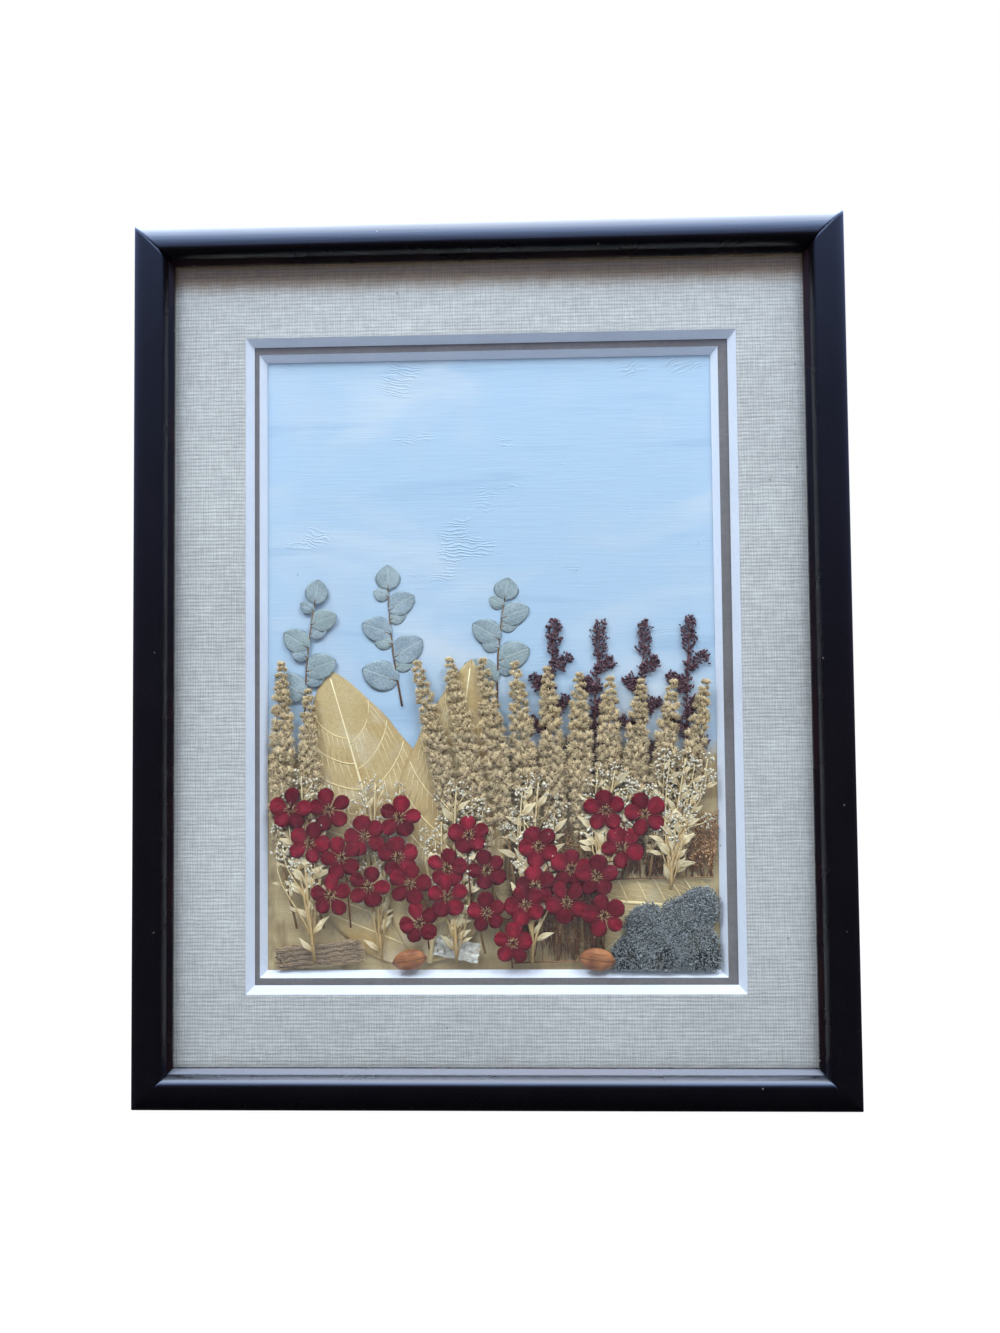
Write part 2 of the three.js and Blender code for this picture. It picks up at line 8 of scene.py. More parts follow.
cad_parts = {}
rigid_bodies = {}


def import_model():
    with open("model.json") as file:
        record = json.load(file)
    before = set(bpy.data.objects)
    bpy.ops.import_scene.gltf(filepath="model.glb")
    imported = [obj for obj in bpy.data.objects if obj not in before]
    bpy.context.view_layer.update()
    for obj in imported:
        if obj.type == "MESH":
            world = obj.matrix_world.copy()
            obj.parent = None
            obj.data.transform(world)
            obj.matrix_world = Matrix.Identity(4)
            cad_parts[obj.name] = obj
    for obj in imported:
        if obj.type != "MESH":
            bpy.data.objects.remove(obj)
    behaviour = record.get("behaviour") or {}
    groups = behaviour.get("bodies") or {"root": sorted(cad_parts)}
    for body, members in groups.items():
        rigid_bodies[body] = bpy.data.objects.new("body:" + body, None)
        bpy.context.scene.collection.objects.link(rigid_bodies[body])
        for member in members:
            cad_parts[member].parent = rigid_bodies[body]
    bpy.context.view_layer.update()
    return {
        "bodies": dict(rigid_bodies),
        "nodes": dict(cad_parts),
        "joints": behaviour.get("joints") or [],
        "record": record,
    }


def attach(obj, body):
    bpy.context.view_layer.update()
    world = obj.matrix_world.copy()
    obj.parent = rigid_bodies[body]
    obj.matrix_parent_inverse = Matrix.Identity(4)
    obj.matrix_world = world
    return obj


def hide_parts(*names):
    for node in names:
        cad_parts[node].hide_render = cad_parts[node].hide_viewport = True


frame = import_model()

mm = 0.001
frameMiddle = (0.0, -178.8)  # across and up from the hanger's middle notch
pictureFoot = (-0.1, -311.0)  # middle of the picture opening's lower edge


def report(stage):
    print("made:", stage, flush=True)


# small tools for modelling


def setMode(kind):
    bpy.ops.object.mode_set(mode=kind)


def deselectAll():
    if bpy.context.object and bpy.context.object.mode != "OBJECT":
        setMode("OBJECT")
    bpy.ops.object.select_all(action="DESELECT")


def activate(obj):
    deselectAll()
    obj.select_set(True)
    bpy.context.view_layer.objects.active = obj


def pick(obj, kind, test):
    # leaves edit mode on, with only the parts selected that pass the test
    activate(obj)
    setMode("EDIT")
    bpy.ops.mesh.select_mode(type=kind)
    bpy.ops.mesh.select_all(action="DESELECT")
    setMode("OBJECT")
    mesh = obj.data
    for part in {"VERT": mesh.vertices, "EDGE": mesh.edges, "FACE": mesh.polygons}[kind]:
        part.select = test(part)
    setMode("EDIT")


def pickFaces(obj, test):
    pick(obj, "FACE", lambda face: test(face.center, face.normal))


def pickEdges(obj, test):
    pick(obj, "EDGE", lambda edge: test(*(obj.data.vertices[i].co for i in edge.vertices)))


def applyModifier(obj, kind, **settings):
    activate(obj)
    modifier = obj.modifiers.new(kind.lower(), kind)
    for key, value in settings.items():
        setattr(modifier, key, value)
    bpy.ops.object.modifier_apply(modifier=modifier.name)


def settle():
    # moves the new primitive's place, turn and scale into its mesh
    bpy.ops.object.transform_apply(location=True, rotation=True, scale=True)
    return bpy.context.object


def block(low, high):
    deselectAll()
    bpy.ops.mesh.primitive_cube_add(size=1, location=[(a + b) / 2 for a, b in zip(low, high)])
    bpy.context.object.scale = [b - a for a, b in zip(low, high)]
    return settle()


def hang(obj, name, nodes, materials, at=pictureFoot, smoothAngle=None):
    # stands a finished piece up in metres and puts it in place of its CAD nodes
    stand = Matrix(((1, 0, 0, at[0]), (0, 0, -1, 0), (0, 1, 0, at[1]), (0, 0, 0, 1)))
    obj.data.transform(Matrix.Scale(mm, 4) @ stand @ obj.matrix_world)
    obj.matrix_world = Matrix.Identity(4)
    obj.name = obj.data.name = name
    for material in materials:
        obj.data.materials.append(material)
    if smoothAngle is not None:
        activate(obj)
        bpy.ops.object.shade_smooth_by_angle(angle=math.radians(smoothAngle))
    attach(obj, "root")
    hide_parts(*nodes)


# small tools for materials


def tone(text):
    # a screen colour such as "#c9c5bb" as linear light
    parts = [int(text[i:i + 2], 16) / 255 for i in (1, 3, 5)]
    return [p / 12.92 if p <= 0.04045 else ((p + 0.055) / 1.055) ** 2.4 for p in parts] + [1.0]


class Wire:
    # a shader output that is added, multiplied and compared as a number is

    def __init__(self, socket):
        self.socket = socket
        self.tree = socket.id_data

    def calc(self, operation, a, b=0.0):
        return wire(self.tree, "ShaderNodeMath", {0: a, 1: b}, operation=operation)

    def __add__(self, other):
        return self.calc("ADD", self, other)

    def __sub__(self, other):
        return self.calc("SUBTRACT", self, other)

    def __rsub__(self, other):
        return self.calc("SUBTRACT", other, self)

    def __mul__(self, other):
        return self.calc("MULTIPLY", self, other)

    def __pow__(self, other):
        return self.calc("POWER", self, other)

    def __gt__(self, other):
        return self.calc("GREATER_THAN", self, other)

    def __lt__(self, other):
        return self.calc("LESS_THAN", self, other)

    def __abs__(self):
        return self.calc("ABSOLUTE", self)

    def sine(self):
        return self.calc("SINE", self)

    def larger(self, other):
        return self.calc("MAXIMUM", self, other)

    def smaller(self, other):
        return self.calc("MINIMUM", self, other)

    def remap(self, fromLow, fromHigh, toLow=0.0, toHigh=1.0, smooth=False):
        kind = "SMOOTHSTEP" if smooth else "LINEAR"
        inputs = {0: self, 1: fromLow, 2: fromHigh, 3: toLow, 4: toHigh}
        return wire(self.tree, "ShaderNodeMapRange", inputs, interpolation_type=kind)


def link(value, socket):
    # value: a wire, a plain value or a screen colour
    if isinstance(value, Wire):
        value.tree.links.new(value.socket, socket)
    else:
        socket.default_value = tone(value) if isinstance(value, str) else value


def addNode(tree, kind, inputs=None, **settings):
    made = tree.nodes.new(kind)
    for key, value in settings.items():
        setattr(made, key, value)
    for key, value in (inputs or {}).items():
        link(value, made.inputs[key])
    return made


def wire(tree, kind, inputs=None, output=0, **settings):
    return Wire(addNode(tree, kind, inputs, **settings).outputs[output])


def blend(factor, a, b, kind="MIX"):
    tree = next(v.tree for v in (factor, a, b) if isinstance(v, Wire))
    return wire(tree, "ShaderNodeMix", {0: factor, 6: a, 7: b}, 2, data_type="RGBA", blend_type=kind)


def brighten(colour, level):
    grey = wire(colour.tree, "ShaderNodeCombineColor", {0: level, 1: level, 2: level})
    return blend(1.0, colour, grey, "MULTIPLY")


def noise(place, scale, detail=3.0, roughness=0.5, distortion=0.0, stretch=None, turn=0.0):
    # stretch: how dense the pattern is along each axis; turn: its slant in the picture's plane
    if stretch:
        place = stretched(place, stretch, (0.0, turn, 0.0))
    inputs = {"Vector": place, "Scale": scale, "Detail": detail, "Roughness": roughness,
              "Distortion": distortion}
    return wire(place.tree, "ShaderNodeTexNoise", inputs, "Fac")


def stretched(place, scale, turn=(0.0, 0.0, 0.0)):
    return wire(place.tree, "ShaderNodeMapping", {"Vector": place, "Scale": scale, "Rotation": turn})


def cells(place, scale):
    # how far each point is from its cell's middle, and a number drawn for the cell
    made = addNode(place.tree, "ShaderNodeTexVoronoi", {"Vector": place, "Scale": scale})
    return Wire(made.outputs["Distance"]), split(Wire(made.outputs["Color"]))[0]


def net(place, scale, width, strength):
    # fine lines where the cells meet
    inputs = {"Vector": place, "Scale": scale}
    edge = wire(place.tree, "ShaderNodeTexVoronoi", inputs, "Distance", feature="DISTANCE_TO_EDGE")
    return edge.remap(0.0, width, strength, 0.0)


def objectPlace(tree):
    return wire(tree, "ShaderNodeTexCoord", output="Object")


def attributePlace(tree, name="growth"):
    return wire(tree, "ShaderNodeAttribute", output="Vector", attribute_name=name)


def split(place):
    return [Wire(socket) for socket in addNode(place.tree, "ShaderNodeSeparateXYZ", {0: place}).outputs]


def newMaterial(name, **values):
    # values: the shader's sockets, with spaces left out of their names
    material = bpy.data.materials.new(name)
    material.use_nodes = True
    tree = material.node_tree
    shader = findNode(tree, "BSDF_PRINCIPLED")
    for socket in shader.inputs:
        if socket.name.replace(" ", "") in values:
            link(values[socket.name.replace(" ", "")], socket)
    return material, tree, shader


def findNode(tree, kind):
    return next(n for n in tree.nodes if n.type == kind)


def dress(shader, colour, height, relief, rough=None, strength=1.0):
    # leads the finished patterns to the shader; relief is the bump's depth in metres
    if colour:
        link(colour, shader.inputs["Base Color"])
    if rough:
        link(rough, shader.inputs["Roughness"])
    inputs = {"Height": height, "Distance": relief, "Strength": strength}
    link(wire(height.tree, "ShaderNodeBump", inputs), shader.inputs["Normal"])


def newGroup(name, inputs, outputs):
    # inputs: each name with its kind of socket and its usual value
    group = bpy.data.node_groups.new(name, "ShaderNodeTree")
    for label, (kind, value) in inputs.items():
        socket = group.interface.new_socket(name=label, in_out="INPUT", socket_type="NodeSocket" + kind)
        if value is not None:
            socket.default_value = value
    for label, kind in outputs.items():
        group.interface.new_socket(name=label, in_out="OUTPUT", socket_type="NodeSocket" + kind)
    given = group.nodes.new("NodeGroupInput").outputs
    return group, {label: Wire(given[label]) for label in inputs}, group.nodes.new("NodeGroupOutput").inputs


def useGroup(tree, group, inputs):
    outputs = addNode(tree, "ShaderNodeGroup", inputs, node_tree=group).outputs
    return {socket.name: Wire(socket) for socket in outputs}


# effects that several materials share


def makeDustGroup():
    # sparse pale specks and a soft film
    group, given, out = newGroup(
        "settledDust",
        {"Vector": ("Vector", None), "Specks": ("Float", 0.3), "Film": ("Float", 0.2)},
        {"Mask": "Float"},
    )
    place = given["Vector"]
    distance, drawn = cells(place, 420.0)
    specks = distance.remap(0.05, 0.2, 1.0, 0.0) * (drawn > 1.0 - given["Specks"] * 0.1)
    film = noise(place, 60.0, 4.0).remap(0.45, 0.75) * given["Film"]
    link(specks.larger(film), out["Mask"])
    return group


def makeFibreGroup():
    # short crossing fibres, as in board and paper
    group, given, out = newGroup(
        "paperFibre",
        {"Vector": ("Vector", None), "Scale": ("Float", 900.0)},
        {"Tone": "Float", "Height": "Float"},
    )
    place, scale = given["Vector"], given["Scale"]
    along = noise(place, scale, 2.0, stretch=(0.25, 1.0, 1.0))
    across = noise(place, scale, 2.0, stretch=(1.0, 1.0, 0.3))
    link(noise(place, 35.0, 4.0), out["Tone"])
    link(along.larger(across), out["Height"])
    return group


def makeDriedGroup():
    # colour of a dried plant part: root to tip, mottled, with aged spots and its own tint; where parts crowd,
    # a dark root colour paints the shade in the gaps between them
    group, given, out = newGroup(
        "driedPlant",
        {"Growth": ("Vector", None), "Root": ("Color", None), "Tip": ("Color", None),
         "Spot": ("Color", None), "Turn": ("Float", 0.5), "Mottle Scale": ("Float", 300.0),
         "Spots": ("Float", 0.2), "Spread": ("Float", 0.4)},
        {"Color": "Color", "Height": "Float"},
    )
    _, along, tint = split(given["Growth"])
    rise = along.remap(0.0, given["Turn"] * 2.0, smooth=True)
    colour = blend(rise, given["Root"], given["Tip"])
    mottle = noise(objectPlace(group), given["Mottle Scale"], 3.0, 0.6)
    spotted = mottle.remap(0.52, 0.7, smooth=True)
    colour = blend(spotted * given["Spots"], colour, given["Spot"])
    lift = (tint - 0.5) * given["Spread"] + (mottle - 0.5) * 0.5
    link(brighten(colour, lift + 1.0), out["Color"])
    link(mottle, out["Height"])
    return group


dustGroup = makeDustGroup()
fibreGroup = makeFibreGroup()
driedGroup = makeDriedGroup()


# holder materials


def makeLacquer():
    # near-black semi-gloss lacquer, reddish where it is thin, bare wood on the back
    look = {"black": "#0b090e", "thin": "#35150f", "nick": "#b3a79c", "pore": "#7c5c3a", "bare": "#a5825a"}
    material, tree, shader = newMaterial("blackLacquer", CoatWeight=0.3, CoatRoughness=0.12)
    grain = attributePlace(tree, "grain")
    across, _, out = split(grain)
    pores = noise(grain, 900.0, 4.0, 0.6, stretch=(1.0, 0.035, 1.0))
    cloud = noise(grain, 28.0, 4.0)
    lip = across.remap(0.0152, 0.0168, smooth=True)
    outer = across.remap(0.0011, 0.0001, smooth=True)
    thin = lip.larger(outer) * cloud.remap(0.42, 0.68)
    colour = blend(thin * 0.4, look["black"], look["thin"])
    edges = outer.larger(across.remap(0.0173, 0.0177))
    nicks = (noise(grain, 340.0, 3.0, 0.7) > 0.7) * edges
    dust = useGroup(tree, dustGroup, {"Vector": grain, "Specks": 0.1, "Film": 0.006})["Mask"]
    colour = blend((nicks * 0.8).larger(dust * 0.5), colour, look["nick"])
    back = out.remap(0.0004, 0.0001)
    colour = blend(back, colour, blend(pores, look["pore"], look["bare"]))
    rough = (cloud * 0.14 + 0.2).larger(back * 0.8)
    dress(shader, colour, pores + cloud * 0.5, 0.00005, rough)
    return material


def makeLinen():
    # pale linen: fine plain weave in even rows, thick and thin threads, tiny dark flecks, and a painted brown
    # shadow under the top rail
    look = {"light": "#dcdbda", "dark": "#a9a7a8", "fleck": "#5f564a", "row": 1.55, "column": 1.1,
            "brown": "#cfae8a", "brownFrom": -0.0105, "brownTo": -0.0205}
    material, tree, shader = newMaterial("paleLinen", Roughness=0.92, SheenWeight=0.12)
    place = objectPlace(tree)
    drift = noise(place, 130.0, 2.0)
    x, _, z = split(place)
    rows = abs(((z + drift * 0.0007) * (math.pi / (look["row"] * mm))).sine())
    columns = abs(((x + drift * 0.0008) * (math.pi / (look["column"] * mm))).sine())
    thread = noise(place, 1000.0, 3.0, 0.6, stretch=(0.14, 1.0, 1.0))
    upright = noise(place, 1100.0, 3.0, 0.55, stretch=(1.0, 1.0, 0.12))
    grain = noise(place, 1800.0, 2.0, 0.6)
    cloud = noise(place, 14.0, 4.0)
    mix = thread * 0.6 + upright * 0.5 + rows * 0.26 + columns * 0.18 + grain * 0.5 + cloud * 0.3
    colour = blend(mix.remap(1.02, 1.58), look["dark"], look["light"])
    distance, drawn = cells(place, 260.0)
    colour = blend((distance < 0.1) * (drawn > 0.985) * 0.8, colour, look["fleck"])
    # painted shadow: the cloth is tinted darker and browner just under the top rail, where the rail's shade
    # falls
    railShadow = (z + drift * 0.0037).remap(look["brownTo"], look["brownFrom"], smooth=True)
    colour = blend(railShadow, colour, blend(1.0, colour, look["brown"], "MULTIPLY"))
    height = rows * 0.5 + columns * 0.2 + thread + upright * 0.6
    dress(shader, colour, height, 0.00016, strength=0.8)
    return material


def makeCard(name, light, dark):
    material, tree, shader = newMaterial(name, Roughness=0.85)
    fibre = useGroup(tree, fibreGroup, {"Vector": objectPlace(tree), "Scale": 1100.0})
    mix = fibre["Tone"] * 0.6 + fibre["Height"] * 0.6
    dress(shader, blend(mix.remap(0.4, 0.85), dark, light), fibre["Height"], 0.00008)
    return material


def makePaint():
    # pale blue brushed sky above, a straw and umber ground brushed in below
    look = {"blue": "#b4cce4", "white": "#d0dae6", "deep": "#a0bcd8", "blush": "#ced3e0", "speck": "#6b7b8a",
            "straw": "#cdb68a", "clay": "#a98f66", "umber": "#7d6747", "groundTop": 0.119}
    material, tree, shader = newMaterial("brushedPaint", CoatWeight=0.06, CoatRoughness=0.4)
    place = objectPlace(tree)
    clouds = noise(place, 16.0, 5.0, 0.55, 0.4, stretch=(0.6, 1.0, 1.5))
    colour = blend(clouds.remap(0.45, 0.7, 0.0, 0.85, smooth=True), look["blue"], look["white"])
    colour = blend(noise(place, 22.0, 3.0).remap(0.55, 0.75, 0.0, 0.4), colour, look["blush"])
    sweep = noise(place, 34.0, 4.0, 0.5, 0.3, stretch=(0.28, 1.0, 2.6), turn=-0.16)
    colour = blend(sweep.remap(0.56, 0.7, 0.0, 0.6, smooth=True), colour, look["deep"])
    bristle = noise(place, 900.0, 3.0, 0.6, stretch=(0.05, 1.0, 1.0), turn=-0.1)
    colour = blend(bristle.remap(0.35, 0.75, 0.0, 0.16), colour, look["white"])
    ground = blend(sweep.remap(0.35, 0.62), look["straw"], look["clay"])
    dabs = noise(place, 120.0, 4.0, 0.6, stretch=(1.0, 1.0, 0.35))
    ground = blend(dabs.remap(0.5, 0.68, 0.0, 0.8), ground, look["umber"])
    # the ground's upper edge: a ragged line over low hills
    ragged = noise(place, 170.0, 4.0, 0.65, stretch=(1.0, 1.0, 0.2))
    hill = noise(place, 9.0, 1.0, stretch=(1.0, 0.0, 0.0))
    rise = split(place)[2] + (ragged * 0.02 + hill * 0.03)
    top = pictureFoot[1] * mm + look["groundTop"]
    below = rise.remap(top + 0.003, top - 0.004)
    colour = blend(below, colour, ground)
    distance, drawn = cells(place, 240.0)
    colour = blend((distance < 0.09) * (drawn > 0.985) * 0.7, colour, look["speck"])
    rings = wire(tree, "ShaderNodeTexWave", {
        "Vector": stretched(place, (1.0, 1.0, 1.7)), "Scale": 130.0, "Distortion": 12.0,
        "Detail": 3.0, "Detail Scale": 1.1}, "Fac", wave_type="RINGS", rings_direction="Y")
    patch = noise(place, 46.0, 2.0, stretch=(0.8, 1.0, 1.4)).remap(0.6, 0.7, smooth=True)
    height = rings ** 3.0 * patch * 0.9 + bristle * 0.55 + sweep * 0.6 + dabs * below * 1.2
    dress(shader, colour, height, 0.00018, clouds.remap(0.3, 0.7, 0.5, 0.68))
    return material


def makeGlass():
    # clear glass: light passes straight through it to the picture
    material, tree, shader = newMaterial(
        "pictureGlass", IOR=1.5, Roughness=0.0, BaseColor=(0.985, 0.995, 0.99, 1.0), TransmissionWeight=1.0)
    path = addNode(tree, "ShaderNodeLightPath").outputs
    passing = Wire(path["Is Shadow Ray"]).larger(Wire(path["Is Diffuse Ray"]))
    clear = wire(tree, "ShaderNodeBsdfTransparent", {"Color": (0.97, 0.98, 0.975, 1.0)})
    mixed = wire(tree, "ShaderNodeMixShader", {0: passing, 1: Wire(shader.outputs[0]), 2: clear})
    link(mixed, findNode(tree, "OUTPUT_MATERIAL").inputs["Surface"])
    return material


def makeHardboard():
    # brown pressed board with the print of a wire screen
    material, tree, shader = newMaterial("brownHardboard", Roughness=0.75)
    place = objectPlace(tree)
    fibre = useGroup(tree, fibreGroup, {"Vector": place, "Scale": 700.0})
    x, _, z = split(place)
    screenPitch = 1.6 * mm
    across, up = (abs((v * (math.pi / screenPitch)).sine()) for v in (x, z))
    mix = fibre["Height"] * 0.7 + fibre["Tone"] * 0.5
    colour = blend(mix.remap(0.4, 0.85), "#4f3320", "#8b6441")
    dress(shader, colour, across.smaller(up) + fibre["Height"], 0.0002)
    return material


def makeSteel():
    material, tree, shader = newMaterial("zincSteel", Metallic=1.0)
    place = objectPlace(tree)
    spangle = noise(place, 500.0, 3.0)
    dust = useGroup(tree, dustGroup, {"Vector": place, "Specks": 0.3, "Film": 0.3})["Mask"]
    colour = blend(dust, blend(spangle.remap(0.35, 0.65), "#8e8b82", "#c2bfb6"), "#8b8478")
    dress(shader, colour, spangle, 0.00003, spangle.remap(0.3, 0.7, 0.28, 0.5))
    return material


lacquer = makeLacquer()
linen = makeLinen()
paint = makePaint()
glassClear = makeGlass()
hardboard = makeHardboard()
steel = makeSteel()
cardCore = makeCard("whiteCardCore", "#eaeefb", "#dce0f0")
taupeCard = makeCard("taupeCard", "#7f7a7a", "#676263")
report("holder materials")


# camera, floor and light

view = {
    "place": (0.0169, -0.4390, -0.1984),
    "right": (0.99950, 0.03003, -0.00945),
    "up": (0.01057, -0.03737, 0.99925),
    "ahead": (-0.02965, 0.99885, 0.03767),
    "lens": 27.0,
}
studio = {
    "floorDrop": 0.3672, "floorSize": 12.0, "floorGlow": 1.26, "glowShare": 0.78,
    "fill": (0.25, 0.26), "fillColour": (0.80, 0.88, 1.0, 1.0), "aim": (0.0, 0.0, -0.18),
    "lights": [
        # place, size across and up, watts, colour
        ((-0.75, -0.85, 1.15), (0.9, 0.7), 28.5, (0.86, 0.94, 1.0)),
        ((0.75, -0.85, 1.15), (0.9, 0.7), 24.5, (0.86, 0.94, 1.0)),
    ],
    # what gloss mirrors: how high the direction points, and the light that comes from there
    "mirrored": [
        (-1.0, (0.01, 0.01, 0.015)), (-0.4, (0.02, 0.02, 0.03)), (0.0, (0.06, 0.05, 0.08)),
        (0.4, (0.18, 0.23, 0.45)), (0.6, (1.1, 1.6, 3.1)), (0.78, (3.3, 4.6, 7.6)),
        (0.9, (6.5, 8.0, 11.0)), (1.0, (8.5, 9.5, 11.5)),
    ],
}
plainWhite = (1.0, 1.0, 1.0, 1.0)


def placeCamera():
    scene = bpy.context.scene
    camera = bpy.data.objects.new("camera", bpy.data.cameras.new("camera"))
    scene.collection.objects.link(camera)
    camera.data.sensor_width = 36.0
    camera.data.lens = view["lens"]
    camera.data.clip_start = 0.01
    turn = Matrix((view["right"], view["up"], [-v for v in view["ahead"]])).transposed()
    camera.matrix_world = Matrix.Translation(view["place"]) @ turn.to_4x4()
    scene.camera = camera
    scene.view_settings.view_transform = "Standard"


def placeLights():
    for i, (place, size, watts, colour) in enumerate(studio["lights"]):
        lamp = bpy.data.lights.new(f"softLight{i + 1}", "AREA")
        lamp.shape, lamp.size, lamp.size_y = "RECTANGLE", size[0], size[1]
        lamp.energy, lamp.color = watts, colour
        light = bpy.data.objects.new(lamp.name, lamp)
        light.visible_glossy = light.visible_transmission = False
        bpy.context.scene.collection.objects.link(light)
        aim = Vector(studio["aim"]) - Vector(place)
        light.matrix_world = Matrix.Translation(place) @ aim.to_track_quat("-Z", "Y").to_matrix().to_4x4()


def makeRoom():
    # white to the camera, an even fill to matt surfaces and a bright sky to glossy ones
    world = bpy.data.worlds.new("studio")
    world.use_nodes = True
    bpy.context.scene.world = world
    tree = world.node_tree
    up = split(wire(tree, "ShaderNodeTexCoord", output="Generated"))[2]
    fill = findNode(tree, "BACKGROUND")
    level, slope = studio["fill"]
    link(studio["fillColour"], fill.inputs["Color"])
    link(up * slope + level, fill.inputs["Strength"])
    mirrored = studio["mirrored"]
    brightest = max(mirrored[-1][1])
    ramp = addNode(tree, "ShaderNodeValToRGB", {"Fac": up * 0.5 + 0.5})
    stops = ramp.color_ramp.elements
    for height, colour in mirrored[1:-1]:
        stops.new(0.5 + 0.5 * height)
    for stop, (height, colour) in zip(stops, mirrored):
        stop.color = [c / brightest for c in colour] + [1.0]
    sky = wire(tree, "ShaderNodeBackground", {"Color": Wire(ramp.outputs[0]), "Strength": brightest})
    white = wire(tree, "ShaderNodeBackground", {"Color": plainWhite, "Strength": 1.0})
    path = addNode(tree, "ShaderNodeLightPath").outputs
    glossy, direct = Wire(path["Is Glossy Ray"]), Wire(path["Is Camera Ray"])
    unseen = wire(tree, "ShaderNodeMixShader", {0: glossy, 1: Wire(fill.outputs[0]), 2: sky})
    both = wire(tree, "ShaderNodeMixShader", {0: direct, 1: unseen, 2: white})
    link(both, findNode(tree, "OUTPUT_WORLD").inputs["Surface"])


def makeFloor():
    # pale and matt, and lifted towards white where the camera sees it
    deselectAll()
    bpy.ops.mesh.primitive_plane_add(size=studio["floorSize"], location=(0, 0, -studio["floorDrop"]))
    floor = bpy.context.object
    floor.name = "floor"
    material, tree, shader = newMaterial("paleFloor", Roughness=0.9, BaseColor=(0.3, 0.3, 0.3, 1.0))
    dress(shader, None, noise(objectPlace(tree), 40.0), 0.0002, strength=0.3)
    glow = wire(tree, "ShaderNodeEmission", {"Color": plainWhite, "Strength": studio["floorGlow"]})
    direct = wire(tree, "ShaderNodeLightPath", output="Is Camera Ray") * studio["glowShare"]
    lifted = wire(tree, "ShaderNodeMixShader", {0: direct, 1: Wire(shader.outputs[0]), 2: glow})
    link(lifted, findNode(tree, "OUTPUT_MATERIAL").inputs["Surface"])
    floor.data.materials.append(material)
    floor.visible_glossy = False  # the glass and the lacquer mirror a dark room there


placeCamera()
placeLights()
makeRoom()
makeFloor()
report("camera, floor and light")


# frame rails: a rounded moulding, highest near the glass, with a sloped sight lip, mitred

moulding = {
    "outerWidth": 303.4, "outerHeight": 375.6, "width": 17.7, "depth": 26.0, "round": 8.0, "crest": 11.8,
    "inner": 4.4, "roundSteps": 20, "rebate": 11.2, "lipBack": 18.2, "joint": 0.004, "softEdge": 0.3,
    "mitreCut": 1.4, "cuts": 13, "lip": {"from": 15.1, "top": 22.3, "edge": 19.9},
}


def joinShapes(obj, other, operation):
    applyModifier(obj, "BOOLEAN", object=other, operation=operation, solver="EXACT")
    bpy.data.objects.remove(other)


def cutAcross(obj, place, normal, **parts):
    # with nothing to clear, only an extra edge round the piece: the shading stays straight along it
    activate(obj)
    setMode("EDIT")
    bpy.ops.mesh.select_mode(type="FACE")
    bpy.ops.mesh.select_all(action="SELECT")
    bpy.ops.mesh.bisect(plane_co=place, plane_no=normal, **parts)
    setMode("OBJECT")


def makeRail(length):
    # x from the outer edge inwards, y along the rail, z from the wall to the front
    m = moulding
    half = length / 2
    rail = block((0, -half, 0), (2 * m["round"], half, m["depth"]))
    pickEdges(rail, lambda a, b: min(a.z, b.z) > m["depth"] - 0.1 and abs(a.x - b.x) < 0.1)
    bpy.ops.mesh.bevel(offset=m["round"] - 0.05, segments=m["roundSteps"], affect="EDGES")
    setMode("OBJECT")
    for vertex in rail.data.vertices:
        # a wide slope to the outside and a short one to the glass
        past = vertex.co.x - m["round"]
        vertex.co.x = m["crest"] + past * (m["crest"] if past < 0 else m["inner"]) / m["round"]
    slope = m["lip"]
    lip = block((slope["from"], -half, m["lipBack"] - 0.6), (m["width"], half, slope["top"]))
    for vertex in lip.data.vertices:
        if vertex.co.z > m["lipBack"] + 1 and vertex.co.x > m["width"] - 0.1:
            vertex.co.z = slope["edge"]
    joinShapes(rail, lip, "UNION")
    rebate = block((m["rebate"], -half - 1, -1), (m["width"] + 1, half + 1, m["lipBack"]))
    joinShapes(rail, rebate, "DIFFERENCE")
    for side in (-1, 1):
        cutAcross(rail, (0, side * (half - m["joint"]), 0), (1, side, 0), use_fill=True, clear_outer=True)
        cutAcross(rail, (0, side * (half - m["mitreCut"]), 0), (1, side, 0))
    for along in np.linspace(-1, 1, m["cuts"]) * (half - m["width"] - 2):
        cutAcross(rail, (0, along, 0), (0, 1, 0))
    applyModifier(rail, "BEVEL", width=m["softEdge"], segments=2, limit_method="ANGLE",
                  angle_limit=math.radians(25), harden_normals=False)
    return rail


def placeRail(blank, side, inward, reach, shift):
    # shift moves the grain along, so that no two rails show the same
    rail = blank.copy()
    rail.data = blank.data.copy()
    bpy.context.scene.collection.objects.link(rail)
    grain = rail.data.attributes.new("grain", "FLOAT_VECTOR", "POINT")
    for point, vertex in zip(grain.data, rail.data.vertices):
        point.vector = (vertex.co.x * mm, (vertex.co.y + shift) * mm, vertex.co.z * mm)
    front = Vector((0, 0, 1))
    inward = Vector((*inward, 0))
    stand = Matrix((inward, front.cross(inward), front)).transposed().to_4x4()
    rail.data.transform(Matrix.Translation(inward * -reach) @ stand)
    hang(rail, "rail" + side.capitalize(), [f"frame_rail_{side}"], [lacquer], frameMiddle,
         smoothAngle=30)


acrossBlank = makeRail(moulding["outerWidth"])
uprightBlank = makeRail(moulding["outerHeight"])
placeRail(acrossBlank, "top", (0, -1), moulding["outerHeight"] / 2, 0)
placeRail(acrossBlank, "bottom", (0, 1), moulding["outerHeight"] / 2, 900)
placeRail(uprightBlank, "left", (1, 0), moulding["outerWidth"] / 2, 1800)
placeRail(uprightBlank, "right", (-1, 0), moulding["outerWidth"] / 2, 2700)
for blank in (acrossBlank, uprightBlank):
    bpy.data.objects.remove(blank)
report("frame rails")


# mats: board with a covered face and a white bevel round its window

